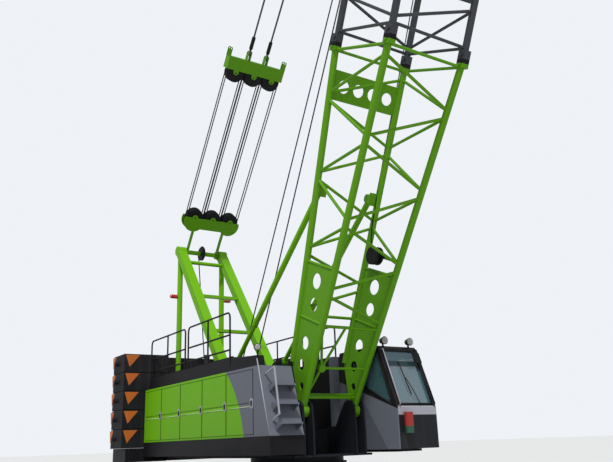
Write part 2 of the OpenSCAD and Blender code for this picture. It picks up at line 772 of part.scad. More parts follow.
// Gantry: two box struts, two rear legs, cross tubes, channels and a rope sheave
module gantry() placed() {
    strut_w = 236;
    strut_deep = 200;
    leg_d = 140;
    run = strut_foot - gantry_top;
    color(LIME) {
        difference() {
            union() {
                for (side = SIDES) {
                    y = [0, side * (gantry_y + 6), 0];
                    strut(gantry_top + y, strut_foot + y - run * 0.03, strut_w, strut_deep);
                    roll(strut_foot[0], strut_foot[2], 120, side * (gantry_y + 6) - 118,
                        side * (gantry_y + 6) + 118, 48);
                    roll(gantry_top[0], gantry_top[2], 130, side * (gantry_y + 6) - 118,
                        side * (gantry_y + 6) + 118, 48);
                    bar([gantry_top[0], side * leg_y, gantry_top[2]], [leg_x, side * leg_y, 2061], leg_d,
                        40);
                }
                // Second cross tube, a little way down the struts
                bar(gantry_top + run * 0.1 + [0, -gantry_y, 0], gantry_top + run * 0.1 + [0, gantry_y, 0],
                    100, 40);
            }
            for (side = SIDES)
                roll(strut_foot[0], strut_foot[2], 40 + pin_gap, side * gantry_y - 200,
                    side * gantry_y + 200, 32);
        }
        roll(gantry_top[0], gantry_top[2], 60, -gantry_y, gantry_y, 48);
    }
    // Channels between the struts, and lamps on the rear legs
    color(BLACK)
        for (f = [0.42, 0.70]) {
            p = gantry_top + run * f;
            difference() {
                block([p[0] - 70, -gantry_y + 100, p[2] + 10], [p[0] + 70, gantry_y - 100, p[2] + 80]);
                block([p[0] - 55, -gantry_y + 90, p[2] + 25], [p[0] + 55, gantry_y - 90, p[2] + 90]);
            }
        }
    color("firebrick") for (side = SIDES)
        roll(leg_x + 30, 5560, 45, side > 0 ? leg_y : -leg_y - 240, side > 0 ? leg_y + 240 : -leg_y, 32);
    color(BLACK) roll(gantry_top[0], gantry_top[2], 190, -35, 35, 64);
}

// Everything on the stay line: local X runs from the gantry top to the boom head
module on_stay(s) {
    translate(gantry_top) rotate([0, -stay_angle, 0]) translate([s, 0, 0]) children();
}

spreader_axis = spreader_s + 60;
lobe_r = 290;
module lower_spreader() placed() {
    eye_x = -spreader_s;
    color(LIME)
        on_stay(spreader_s) {
            for (z = [-128, 108])
                difference() {
                    translate([0, 0, z]) linear_extrude(20) {
                        intersection() {
                            for (y = [-group_pitch, group_pitch]) translate([-40, y])
                                circle(r = lobe_r, $fn = 72);
                            translate([-400, -900]) square([460, 1800]);
                        }
                        translate([-245, -group_pitch]) square([305, 2 * group_pitch]);
                        for (y = [-group_pitch, 0, group_pitch]) translate([60, y])
                            circle(r = 82, $fn = 40);
                    }
                    for (y = [-group_pitch, 0, group_pitch])
                        translate([60, y, z - 5]) cylinder(r = 20, h = 30, $fn = 32);
                }
            for (y = [-group_pitch, group_pitch]) translate([-240, y - 60, -110]) cube([30, 120, 220]);
            translate([-240, -280, -110]) cube([30, 560, 220]);
            // Links down to the cross tube of the gantry
            for (y = [-440, 440])
                difference() {
                    union() {
                        translate([eye_x, y - 22, -45]) cube([-200 - eye_x, 44, 90]);
                        translate([eye_x, y - 22, 0]) rotate([-90, 0, 0])
                            cylinder(r = 105, h = 44, $fn = 48);
                        translate([-245, y - 22, -109]) cube([65, 44, 218]);
                    }
                    translate([eye_x, y - 50, 0]) rotate([-90, 0, 0])
                        cylinder(r = 60 + pin_gap, h = 100, $fn = 48);
                }
        }
}

// A group of rope sheaves side by side with its axis along local Z
module sheave_group() {
    groove = 22;
    for (k = [-1, 0, 1])
        translate([0, 0, k * 66])
            rotate_extrude($fn = 72)
                difference() {
                    translate([21, -29]) square([sheave_r - 21, 58]);
                    translate([sheave_r + 4, 0]) circle(r = groove, $fn = 32);
                }
    translate([0, 0, -100]) cylinder(r = 45, h = 200, $fn = 32);
}

module spreader_sheaves() placed() {
    color(BLACK)
        for (y = [-group_pitch, 0, group_pitch])
            on_stay(spreader_axis) translate([0, y, 0]) sheave_group();
}

bridle_axis = bridle_s - 570;
module bridle() placed() {
    color(LIME)
        on_stay(bridle_s) {
            for (z = [-130, 110])
                difference() {
                    translate([0, 0, z]) linear_extrude(20) {
                        translate([-500, -800]) square([320, 1600]);
                        for (y = [-group_pitch, 0, group_pitch]) translate([-540, y])
                            circle(r = 75, $fn = 40);
                    }
                    for (y = [-group_pitch, 0, group_pitch])
                        translate([-570, y, z - 5]) cylinder(r = 20, h = 30, $fn = 32);
                }
            translate([-200, -800, -111]) cube([20, 1600, 222]);
            for (y = [-800, 780]) translate([-500, y, -111]) cube([320, 20, 222]);
            // Ears for the pendants
            for (side = SIDES)
                for (c = [-52, 32])
                    difference() {
                        union() {
                            translate([-181, side * 248 + c, -60]) cube([181, 20, 120]);
                            translate([0, side * 248 + c, 0]) rotate([-90, 0, 0])
                                cylinder(r = 60, h = 20, $fn = 40);
                        }
                        translate([0, side * 248 + c - 5, 0]) rotate([-90, 0, 0])
                            cylinder(r = 26, h = 30, $fn = 32);
                    }
            // Forked lugs at both ends
            for (y = [-800, 780])
                for (z = [-70, 50])
                    difference() {
                        union() {
                            translate([-190, y - 30, z]) cube([190, 80, 20]);
                            translate([0, y + 10, z]) cylinder(r = 40, h = 20, $fn = 32);
                        }
                        translate([0, y + 10, z - 5]) cylinder(r = 20, h = 30, $fn = 24);
                    }
        }
}

module bridle_sheaves() placed() {
    color(BLACK)
        for (y = [-group_pitch, 0, group_pitch])
            on_stay(bridle_axis) translate([0, y, 0]) sheave_group();
}

// Two pendants with a forged socket at each end and joints along their length
module pendants() placed() {
    span = stay_len - bridle_s;
    joints = [7000, 14000, 21000];
    spread = 300 - 248;
    color(DARK)
        for (side = SIDES)
            on_stay(bridle_s)
                translate([0, side * 248, 0])
                    rotate([0, 0, side * atan(spread / span)]) {
                        for (x = [0, span])
                            difference() {
                                union() {
                                    roll(x, 0, 60, -24, 24, 40);
                                    translate([x > 0 ? x - 420 : 0, 0, 0]) rotate([0, 90, 0])
                                        cylinder(r = 30, h = 420, $fn = 32);
                                }
                                roll(x, 0, 26 + pin_gap, -40, 40, 32);
                            }
                        translate([300, 0, 0]) rotate([0, 90, 0])
                            cylinder(d = pendant_d, h = span - 600, $fn = 32);
                        for (x = joints) translate([x, 0, 0]) {
                            rotate([0, 90, 0]) cylinder(r = 38, h = 360, $fn = 32);
                            translate([180, -40, -55]) cube([60, 80, 110]);
                        }
                    }
}

// Boom geometry: half width, upper chord and lower chord at a place along the boom
top_start = base_len + 2 * insert_len;
top_end = boom_len - 300;
head_half = 420;
head_deep = 330;
jib_bore = [boom_len + 70, -215];
jib_bore_r = 32;
function taper(u) = (u - top_start) / (top_end - top_start);
function chord_w(u) = u < base_len ? foot_y + (boom_h - foot_y) * u / base_len
    : u < top_start ? boom_h : boom_h + (head_half - boom_h) * taper(u);
function chord_low(u) = u < base_len ? -boom_h * u / base_len
    : u < top_start ? -boom_h : -boom_h + (boom_h - head_deep) * taper(u);
function chord_up(u) = u < base_len ? bend_z + (boom_h - bend_z) * (u - bend_u) / (base_len - bend_u)
    : u < top_start ? boom_h : boom_h + (head_deep - boom_h) * taper(u);
function chord_at(u, side, up) = [u, side * chord_w(u), up > 0 ? chord_up(u) : chord_low(u)];

module on_boom() {
    translate(boom_foot) rotate([0, -boom_angle, 0]) children();
}

module brace(p, q) {
    bar(p, q, lace_d, lace_sides);
}

// Zigzag lacing on all four faces: levels alternate between two opposite pairs of chords
module lacing(levels, first, sides_from = 0) {
    for (i = [0:len(levels) - 2]) {
        k = (i + first) % 2 == 0 ? 1 : -1;
        u0 = levels[i] + lace_split;
        u1 = levels[i + 1] - lace_split;
        for (s = SIDES) {
            up = -s * k;
            brace(chord_at(u0, s, up), chord_at(u1, -s, up));
            if (levels[i] > sides_from) brace(chord_at(u0, s, up), chord_at(u1, s, -up));
        }
    }
}

// A chord tube, turned so that the line where its tube closes is away from the lacing
module chord(u0, u1, s, up) {
    bar(chord_at(u0, s, up), chord_at(u1, s, up), chord_d, 32, up > 0 ? 170 : 10);
}

// A square frame of four tubes across the boom
module cross_frame(u, sides = true) {
    for (up = SIDES) brace(chord_at(u, -1, up), chord_at(u, 1, up));
    if (sides) for (s = SIDES) brace(chord_at(u, s, -1), chord_at(u, s, 1));
}

// Pinned lugs on the chords' ends, with the heads of their pins
end_lug = [160, 150, 172];
module chord_end(u, dir) {
    for (s = SIDES)
        for (up = SIDES) {
            p = chord_at(u, s, up);
            translate(p + [dir > 0 ? 2 : -end_lug[0] - 2, -end_lug[1] / 2, -end_lug[2] / 2]) cube(end_lug);
            roll(p[0] + dir * 82, p[2], 44, p[1] - 104, p[1] + 104, 32);
        }
}

module boom_base() placed() {
    side_turn = atan((boom_h - foot_y) / base_len);
    holes = [[2446, 212, 150], [1998, 190, 130], [1234, 270, 125], [802, 285, 105], [430, 150, 70]];
    reel = [3060, 275];
    color(LIME)
        on_boom() {
            for (s = SIDES) {
                chord(90, base_len - 20, s, -1);
                chord(bend_u, base_len - 20, s, 1);
                // Side plate with its holes, and the boss of the foot
                difference() {
                    union() {
                        translate([0, s * foot_y, 0]) rotate([0, 0, s * side_turn])
                            side_plate(-plate_t / 2, plate_t / 2)
                                difference() {
                                    polygon([[0, -60], [plate_u, chord_low(plate_u)],
                                        [plate_u, chord_up(plate_u)],
                                        [bend_u, bend_z + 40], [bend_u - 60, bend_z], [-60, 60]]);
                                    for (h = holes) translate([h[0], h[1]]) circle(r = h[2], $fn = 48);
                                }
                        roll(0, 0, foot_boss_r, s * foot_y - foot_half, s * foot_y + foot_half, 64);
                    }
                    roll(0, 0, foot_pin_r + pin_gap, s * foot_y - 90, s * foot_y + 90, 48);
                }
                // Ribs across the plate
                for (u = [rib_u, plate_u])
                    bar(chord_at(u, s, -1) + [20, 0, 0], chord_at(u, s, 1), 56, lace_sides);
            }
            lacing(base_levels, 0, plate_u + 150);
            cross_frame(base_len - 140);
            cross_frame(rib_u, false);
            tie_u = 270;
            for (z = [-20, 110]) brace([tie_u, -chord_w(tie_u), z], [tie_u, chord_w(tie_u), z]);
            // Lower braces of the front face, gathered on a round gusset
            knee = [870, -421, chord_low(870)];
            knee_d = lace_d - 10;
            translate(knee) cylinder(r = 75, h = 84, center = true, $fn = 40);
            for (p = [[tie_u, -chord_w(tie_u), chord_low(tie_u)], chord_at(870, 1, -1),
                chord_at(rib_u, -1, -1),
                [rib_u, -120, chord_low(rib_u)]])
                bar(knee, p, knee_d, lace_sides);
            // Carrier of the reel
            bar(chord_at(reel[0], 1, -1), chord_at(reel[0], 1, 1), knee_d, lace_sides);
            // Plate with four holes across the upper face
            difference() {
                translate([brow_u, 0, chord_up(brow_u)]) translate([-285, -chord_w(brow_u), -11])
                    cube([570, 2 * chord_w(brow_u), 22]);
                for (y = [-525, -175, 175, 525]) translate([brow_u, y, 500])
                    cylinder(r = 125, h = 600, $fn = 48);
            }
            // Lugs for the backstops
            for (s = SIDES) {
                u = stop_boom[0];
                w = chord_w(u);
                block([u - 130, s > 0 ? 514 : -w, chord_up(u) - 12],
                    [u + 130, s > 0 ? w : -514, chord_up(u) + 12]);
                for (y = [514, 666])
                    side_plate(s > 0 ? y : -y - 20, s > 0 ? y + 20 : -y) {
                        translate([u - 90, chord_up(u) - 10])
                            square([180, stop_boom[1] - chord_up(u) + 10]);
                        translate([u, stop_boom[1]]) circle(r = 90, $fn = 48);
                    }
                roll(u, stop_boom[1], 30, s > 0 ? 510 : -690, s > 0 ? 690 : -510, 32);
            }
        }
    color(BLACK)
        on_boom() {
            chord_end(base_len, -1);
            roll(reel[0], reel[1], 180, 500, 560, 48);
            roll(reel[0], reel[1], 180, 640, 672, 48);
            roll(reel[0], reel[1], 90, 500, chord_w(reel[0]) - 5, 40);
        }
}

module boom_insert(i) {
    u0 = base_len + (i - 1) * insert_len;
    u1 = u0 + insert_len;
    bays = 12;
    levels = [for (k = [0:bays]) u0 + 250 + k * (insert_len - 500) / bays];
    color(GREY)
        on_boom() {
            for (s = SIDES) for (up = SIDES) chord(u0 + 20, u1 - 20, s, up);
            lacing(levels, i);
            cross_frame(u0 + 210);
            cross_frame(u1 - 210);
            chord_end(u0, 1);
            chord_end(u1, -1);
        }
}

module boom_insert_1() placed() boom_insert(1);
module boom_insert_2() placed() boom_insert(2);

module boom_top() placed() {
    bays = 7;
    levels = [for (k = [0:bays]) top_start + 250 + k * (top_end - top_start - 360) / bays];
    t0 = top_start;
    color(LIME)
        on_boom() {
            for (s = SIDES) for (up = SIDES) chord(t0 + 20, top_end, s, up);
            lacing(levels, 1);
            cross_frame(t0 + 210);
            cross_frame(top_end - 60);
            chord_end(t0, 1);
            // Head plates with the sheave shaft
            difference() {
                for (s = SIDES)
                    side_plate(s > 0 ? 405 : -435, s > 0 ? 435 : -405)
                        polygon([[top_end - 300, -head_deep - 60], [top_end - 300, head_deep + 60],
                            [top_end + 60, head_deep + 40],
                            [boom_len + 130, 130], [boom_len + 170, -150], [boom_len + 60, -310],
                            [top_end + 60, -head_deep - 40]]);
                roll(jib_bore[0], jib_bore[1], jib_bore_r, -600, 600, 32);
            }
            roll(boom_len, 0, 60, -436, 436, 48);
            // Ears for the pendants, on a cross tube
            for (s = SIDES)
                for (c = [-52, 32])
                    side_plate(s * 300 + c, s * 300 + c + 20) {
                        translate([pendant_top[0] - 70, head_deep - 40])
                            square([140, pendant_top[1] - head_deep + 40]);
                        translate([pendant_top[0], pendant_top[1]]) circle(r = 70, $fn = 40);
                    }
            bar([pendant_top[0], -head_half, head_deep - 30], [pendant_top[0], head_half, head_deep - 30],
                120, 40);
            for (s = SIDES) roll(pendant_top[0], pendant_top[1], 26, s * 300 - 60, s * 300 + 60, 32);
            // Arm that carries the rope becket
            for (y = [-70, 40])
                side_plate(y, y + 30)
                    polygon([[top_end - 110, -head_deep - 20], [top_end - 110, -head_deep + 90],
                        [becket[0] + 60, becket[1] + 90], [becket[0] + 80, becket[1] - 60],
                        [becket[0] - 60, becket[1] - 60]]);
            roll(becket[0], becket[1], 22, -72, 72, 32);
        }
}

module head_sheaves() placed() {
    head_r = 280;
    color(BLACK)
        on_boom()
            translate([boom_len, 0, 0]) rotate([90, 0, 0]) {
                for (y = [-280, -140, 0, 140, 280])
                    translate([0, 0, y])
                        rotate_extrude($fn = 72)
                            difference() {
                                translate([60 + pin_gap, -28]) square([head_r - 60 - pin_gap, 56]);
                                translate([head_r + 4, 0]) circle(r = 20, $fn = 32);
                            }
                for (y = [-280:140:140])
                    translate([0, 0, y + 27])
                        rotate_extrude($fn = 48) translate([60 + pin_gap, 0]) square([40, 86]);
            }
}

// Backstops: a long tube on the boom, and a rod that slides out of it towards the bed
stop_top = boom_foot + [
    stop_boom[0] * cos(boom_angle) - stop_boom[1] * sin(boom_angle), 0,
    stop_boom[0] * sin(boom_angle) + stop_boom[1] * cos(boom_angle)
];
stop_run = [stop_foot[0], 0, stop_foot[1]] - stop_top;
stop_tube = 3560;
stop_rod = 100;
module on_stop(side) {
    translate(stop_top + [0, side * stop_y, 0])
        rotate([0, acos(stop_run[2] / norm(stop_run)), 180])
            children();
}

module backstop_tubes() placed() {
    color(LIME)
        for (side = SIDES)
            on_stop(side)
                difference() {
                    union() {
                        rotate([90, 0, 0]) translate([0, 0, -58]) cylinder(r = 68, h = 116, $fn = 48);
                        translate([0, 0, 60]) cylinder(d = 120, h = stop_tube - 60, $fn = 48);
                        translate([0, 0, 20]) cylinder(d = 84, h = 60, $fn = 40);
                        translate([0, 0, stop_tube - 90]) cylinder(d = 132, h = 90, $fn = 48);
                    }
                    rotate([90, 0, 0]) translate([0, 0, -70]) cylinder(r = 30 + pin_gap, h = 140, $fn = 32);
                    translate([0, 0, 300]) cylinder(d = stop_rod + 8, h = stop_tube, $fn = 40);
                }
}

module backstop_rods() placed() {
    rod_in = 2750;
    len_all = norm(stop_run);
    color(LIME)
        for (side = SIDES)
            on_stop(side) {
                translate([0, 0, len_all - rod_in]) cylinder(d = stop_rod, h = rod_in - 30, $fn = 40);
                translate([0, 0, len_all]) rotate([90, 0, 0]) translate([0, 0, -56])
                    cylinder(r = 72, h = 112, $fn = 48);
                translate([0, 0, len_all]) rotate([90, 0, 0]) translate([0, 0, -64])
                    cylinder(r = 34, h = 128, $fn = 32);
            }
}

// The rope's fixed end, hanging from the head
module rope_becket() placed() {
    color(DARK)
        translate(becket_at) {
            difference() {
                union() {
                    rotate([90, 0, 0]) translate([0, 0, -32]) cylinder(r = 62, h = 64, $fn = 40);
                    translate([-40, -32, -330]) cube([80, 64, 330]);
                }
                rotate([90, 0, 0]) translate([0, 0, -40]) cylinder(r = 22 + pin_gap, h = 80, $fn = 32);
            }
            translate([0, 0, -480]) cylinder(r = 34, h = 160, $fn = 32);
        }
}

// Hook block with three sheaves, below the head
block_z = -hook_drop;
module hook_block() placed() {
    color(LIME)
        translate(becket_at + [0, 0, block_z]) {
            for (y = [-170, 140])
                translate([0, y, 0])
                    side_plate(0, 30)
                        union() {
                            circle(r = block_r, $fn = 72);
                            translate([-190, -560]) square([380, 560]);
                            translate([-110, 0]) square([220, 420]);
                        }
            translate([-100, -171, 330]) cube([200, 342, 40]);
            translate([-190, -171, -560]) difference() {
                cube([380, 342, 90]);
                translate([190, 171, -10]) cylinder(r = 70, h = 120, $fn = 48);
            }
            roll(0, 0, 50, -200, 200, 40);
        }
    color(BLACK)
        translate(becket_at + [0, 0, block_z])
            rotate([90, 0, 0])
                for (y = [-90, 0, 90])
                    translate([0, 0, y])
                        rotate_extrude($fn = 72)
                            difference() {
                                translate([50, -30]) square([sheave_r - 50, 60]);
                                translate([sheave_r + 4, 0]) circle(r = 20, $fn = 32);
                            }
}

// Hook with its shank, nut and curved body
module hook() placed() {
    hook_bar = 62;
    bend_r = 130;
    color(DARK)
        translate(becket_at + [0, 0, block_z]) {
            translate([0, 0, -740]) cylinder(r = 69, h = 330, $fn = 48);
            translate([0, 0, -464]) cylinder(r = 105, h = 60, $fn = 6);
            translate([0, 0, -800]) cylinder(r = 88, h = 100, $fn = 48);
            translate([0, 0, -960])
                rotate([90, 0, 0])
                    rotate([0, 0, 90])
                        rotate_extrude(angle = 265, $fn = 72) translate([bend_r, 0])
                            circle(r = hook_bar, $fn = 32);
        }
}

carbody();
crawler_frames();
track_left();
track_right();
track_wheels();
bed();
side_decks();
counterweight_tray();
counterweight_slabs();
right_housing();
left_housing();
engine();
front_steps();
walkways();
right_door_1();
right_door_2();
right_door_3();
right_door_4();
right_door_5();
left_door_1();
left_door_2();
cab_shell();
cab_door();
cab_glass();
cab_interior();
cab_lamps();
front_drum();
rear_drum();
luff_drum();
gantry();
lower_spreader();
spreader_sheaves();
bridle();
bridle_sheaves();
pendants();
boom_base();
boom_insert_1();
boom_insert_2();
boom_top();
head_sheaves();
backstop_tubes();
backstop_rods();
rope_becket();
hook_block();
hook();
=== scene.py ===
"""Looks of a crawler crane with a lattice boom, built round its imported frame.

Places are in metres in the frame's own axes: +X forward, +Y to the machine's left, +Z up.
Most sizes are measured from the swing centre on the ground, as a fitter would, and
``Yard.at`` moves them into the frame.
"""
from __future__ import annotations

import json
import logging
import math
from dataclasses import dataclass, replace
from enum import Enum

import bpy
import numpy as np
from mathutils import Matrix, Vector


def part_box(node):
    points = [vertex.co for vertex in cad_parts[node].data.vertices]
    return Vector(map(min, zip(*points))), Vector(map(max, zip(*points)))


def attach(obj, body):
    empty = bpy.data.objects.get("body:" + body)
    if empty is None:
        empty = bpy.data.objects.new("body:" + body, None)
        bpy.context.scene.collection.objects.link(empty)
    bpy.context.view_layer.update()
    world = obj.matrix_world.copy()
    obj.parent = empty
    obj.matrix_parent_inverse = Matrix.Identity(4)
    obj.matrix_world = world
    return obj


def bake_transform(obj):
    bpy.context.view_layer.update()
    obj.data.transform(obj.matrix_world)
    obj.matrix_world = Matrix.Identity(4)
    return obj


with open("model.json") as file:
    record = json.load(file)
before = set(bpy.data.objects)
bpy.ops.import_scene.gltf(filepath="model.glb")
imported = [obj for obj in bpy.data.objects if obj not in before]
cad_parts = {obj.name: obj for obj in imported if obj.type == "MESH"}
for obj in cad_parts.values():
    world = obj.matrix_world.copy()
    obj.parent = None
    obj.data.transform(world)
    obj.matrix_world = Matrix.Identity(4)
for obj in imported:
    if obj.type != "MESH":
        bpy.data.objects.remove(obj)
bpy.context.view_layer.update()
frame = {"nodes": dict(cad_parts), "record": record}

log = logging.getLogger("crane")
Array = np.ndarray
Pair = tuple[float, float]
Triple = tuple[float, float, float]
Node = bpy.types.Node
Socket = bpy.types.NodeSocket
Material = bpy.types.Material

FULL_TURN = 2 * math.pi


class Axis(Enum):
    """The three directions of the frame."""

    X = (1.0, 0.0, 0.0)
    Y = (0.0, 1.0, 0.0)
    Z = (0.0, 0.0, 1.0)


class Side(Enum):
    """The machine's two sides."""

    LEFT = 1
    RIGHT = -1


# Shapes

@dataclass
class Shell:
    """A closed surface: its corners, each face's corner numbers, and which faces are smooth."""

    points: Array
    faces: list[tuple[int, ...]]
    smooth: list[bool]

    def outward(self) -> "Shell":
        """Turns the faces round if the volume they close is negative, and returns the shell."""
        volume = 0.0
        for face in self.faces:
            p = self.points[list(face)]
            volume += np.einsum("ij,ij->i", np.cross(p[1:-1] - p[0], p[2:] - p[0]), p[1:-1]).sum()
        if volume < 0:
            self.faces = [face[::-1] for face in self.faces]
        return self


def unit(vector: Array) -> Array:
    """A vector, or each row of an array, at length 1."""
    vector = np.asarray(vector, float)
    return vector / np.linalg.norm(vector, axis=-1, keepdims=True)


def ring(radius: float, sides: int) -> Array:
    """A round outline: points at equal angles on a circle."""
    turn = np.linspace(0, FULL_TURN, sides, endpoint=False)
    return np.stack([radius * np.cos(turn), radius * np.sin(turn)], axis=1)


def arc(centre: Array, radius: float, start: float, end: float, steps: int) -> list[Array]:
    """Places on a circle in the plane of X and Z, by their turn from X towards Z."""
    return [centre + radius * np.array([math.cos(t), 0.0, math.sin(t)])
            for t in np.linspace(start, end, steps)]


def oblong(across: float, up: float) -> Array:
    """A rectangular outline about its centre."""
    return np.array([[-across, -up], [across, -up], [across, up], [-across, up]]) / 2


def skin(grid: Array, round_form: bool, round_caps: bool = False) -> Shell:
    """Closes a grid of points whose rows are rings: quads between rings and a cap at each end.

    The quads are shaded smooth with ``round_form``, and the caps with ``round_caps``.
    """
    rows, count = grid.shape[:2]
    i, k = np.meshgrid(np.arange(rows - 1), np.arange(count), indexing="ij")
    a, b = i * count + k, i * count + (k + 1) % count
    quads = np.stack([a, b, b + count, a + count], axis=-1).reshape(-1, 4)
    caps = [tuple(range(count))[::-1], tuple(range((rows - 1) * count, rows * count))]
    smooth = [round_form] * len(quads) + [round_caps] * 2
    return Shell(grid.reshape(-1, 3), [tuple(q) for q in quads.tolist()] + caps, smooth).outward()


def sweep(outline: Array, path: Array, lean: Axis = Axis.Y, round_form: bool = True) -> Shell:
    """Carries an outline along a path: point (i, k) is path i plus outline k in the frame there.

    The frame's first direction is square to the path and to ``lean``, and the second is square
    to both.

    Args:
        outline: closed outline, one (across, up) row for each corner.
        path: places along the middle, at least two rows.
        lean: direction that the path never follows.
        round_form: whether the long faces are shaded smooth.
    """
    path = np.asarray(path, float)
    ahead = unit(np.gradient(path, axis=0))
    across = unit(np.cross(ahead, np.array(lean.value)))
    up = np.cross(across, ahead)
    grid = (path[:, None, :] + outline[None, :, :1] * across[:, None, :]
            + outline[None, :, 1:] * up[:, None, :])
    return skin(grid, round_form)


def tube(path: Array, radius: float, sides: int = 8, lean: Axis = Axis.Y) -> Shell:
    """A round bar or rope along a path."""
    return sweep(ring(radius, sides), path, lean)


def box(low: Array, high: Array) -> Shell:
    """A block between two corners, as a rectangle carried along X."""
    low, high = np.minimum(low, high), np.maximum(low, high)
    mid, size = (low + high) / 2, high - low
    path = mid + np.outer([-size[0] / 2, size[0] / 2], Axis.X.value)
    return sweep(oblong(size[2], size[1]), path, Axis.Y, round_form=False)


def turned(profile: Array, centre: Array, axis: Array, sides: int = 28) -> Shell:
    """Turns a profile of (radius, height) rows about an axis, in so many sides.

    The profile runs from one end of the axis to the other. Its height is 0 at the centre.
    """
    axis = unit(np.asarray(axis, float))
    helper = Axis.X if abs(axis[0]) < 0.9 else Axis.Z
    e1 = unit(np.cross(axis, np.array(helper.value)))
    e2 = np.cross(axis, e1)
    turn = ring(1.0, sides)
    spoke = turn[:, :1] * e1 + turn[:, 1:] * e2
    profile = np.asarray(profile, float)
    grid = (np.asarray(centre) + profile[:, None, :1] * spoke[None]
            + (profile[:, 1:] * axis)[:, None, :])
    return skin(grid, round_form=True)


def panel(outline: Array, low: float, high: float, normal: Axis = Axis.Y) -> Shell:
    """A flat plate: an outline given in the other two directions, thick from low to high."""
    grid = np.zeros((2, len(outline), 3))
    grid[:, :, [i for i in range(3) if normal.value[i] == 0]] = outline
    grid[:, :, int(np.argmax(normal.value))] = [[low], [high]]
    return skin(grid, round_form=False)


def cushion(low: Array, high: Array, power: float, steps: int = 28, pole: float = 0.02) -> Shell:
    """A crowned pad in a box: a superellipsoid, with |x|^p + |y|^p + |z|^p at 1 on its skin.

    The power p is higher for a squarer pad. The caps close an angle ``pole`` at bottom and top.
    """
    mid, half = (np.asarray(low) + high) / 2, (np.asarray(high) - low) / 2
    v = np.linspace(-np.pi / 2 + pole, np.pi / 2 - pole, steps)
    u = np.linspace(0, FULL_TURN, 2 * steps, endpoint=False)
    ring_x, ring_y, rise, waist = (np.sign(t) * np.abs(t) ** (2 / power)
                                   for t in (np.cos(u), np.sin(u), np.sin(v), np.cos(v)))
    level = np.outer(rise, np.ones(len(u)))
    grid = np.stack([np.outer(waist, ring_x), np.outer(waist, ring_y), level], axis=-1)
    return skin(mid + grid * half, round_form=True, round_caps=True)


# Finishes

Feed = float | tuple[float, ...] | Socket


@dataclass(frozen=True)
class Graph:
    """A shader tree, with short ways to add its nodes and to feed their inputs."""

    tree: bpy.types.NodeTree

    def feed(self, entry: Socket, value: Feed) -> None:
        """Links a socket to an input, or sets the input's value."""
        if isinstance(value, Socket):
            self.tree.links.new(value, entry)
        else:
            entry.default_value = value

    def add(self, kind: str, inputs: dict[str, Feed] | None = None, **settings: object) -> Node:
        """Adds a node, changes its settings, and then feeds its inputs by name."""
        node = self.tree.nodes.new(kind)
        for name, value in settings.items():
            setattr(node, name, value)
        for name, value in (inputs or {}).items():
            self.feed(node.inputs[name], value)
        return node

    def maths(self, operation: str, first: Feed, second: Feed, result: str = "") -> Socket:
        """An operation's result: on two numbers, or on two vectors if the result is named."""
        node = self.add("ShaderNodeVectorMath" if result else "ShaderNodeMath", operation=operation)
        self.feed(node.inputs[0], first)
        self.feed(node.inputs[1], second)
        return node.outputs[result or 0]

    def noise(self, place: Socket, scale: float, detail: float = 2.0) -> Socket:
        """The strength of a cloudy pattern."""
        inputs = {"Vector": place, "Scale": scale, "Detail": detail}
        return self.add("ShaderNodeTexNoise", inputs).outputs["Fac"]

    def stretch(self, value: Socket, low: float, high: float) -> Socket:
        """A value moved so that low becomes 0 and high becomes 1, without going past them."""
        inputs = {"Value": value, "From Min": low, "From Max": high}
        return self.add("ShaderNodeMapRange", inputs).outputs["Result"]

    def mix(self, share: Feed, first: Feed, second: Feed) -> Socket:
        """The first colour where the share is 0, and the second where it is 1."""
        inputs = {"A": first, "B": second, "Factor": share}
        return self.add("ShaderNodeMix", inputs, data_type="RGBA").outputs["Result"]


def blank(name: str) -> tuple[Material, Node]:
    """A new material, and its shader."""
    material = bpy.data.materials.new(name)
    material.use_nodes = True
    return material, material.node_tree.nodes["Principled BSDF"]


class Grime:
    """A shader group that every paint shares: dust that settles and streaks that run down."""

    NAME = "settled dust and run marks"
    RUN_SCALE = (9.0, 9.0, 0.55)
    CLOUD_SCALE, CLOUD_DETAIL = 0.9, 6.0
    GRAIN_SCALE = 55.0
    RUN_LIMITS, CLOUD_LIMITS = (0.52, 0.78), (0.38, 0.75)

    @classmethod
    def group(cls) -> bpy.types.NodeTree:
        """The group, built once: Streak, Dust and Grain go in, Mask and Height come out."""
        if cls.NAME in bpy.data.node_groups:
            return bpy.data.node_groups[cls.NAME]
        tree = bpy.data.node_groups.new(cls.NAME, "ShaderNodeTree")
        for name, start in (("Streak", 0.5), ("Dust", 0.3), ("Grain", 1.0)):
            socket = tree.interface.new_socket(name, in_out="INPUT", socket_type="NodeSocketFloat")
            socket.default_value = start
        for name in ("Mask", "Height"):
            tree.interface.new_socket(name, in_out="OUTPUT", socket_type="NodeSocketFloat")
        graph = Graph(tree)
        entry = graph.add("NodeGroupInput").outputs
        place = graph.add("ShaderNodeTexCoord").outputs["Object"]
        runs = graph.add("ShaderNodeMapping", {"Vector": place, "Scale": cls.RUN_SCALE})
        streak = graph.stretch(graph.noise(runs.outputs["Vector"], 1.0), *cls.RUN_LIMITS)
        clouds = graph.noise(place, cls.CLOUD_SCALE, cls.CLOUD_DETAIL)
        streaks = graph.maths("MULTIPLY", streak, entry["Streak"])
        dust = graph.maths("MULTIPLY", graph.stretch(clouds, *cls.CLOUD_LIMITS), entry["Dust"])
        total = graph.maths("ADD", streaks, dust)
        total.node.use_clamp = True
        grain = graph.maths("MULTIPLY", graph.noise(place, cls.GRAIN_SCALE), entry["Grain"])
        graph.add("NodeGroupOutput", {"Mask": total, "Height": grain})
        return tree


FAR = 99.0


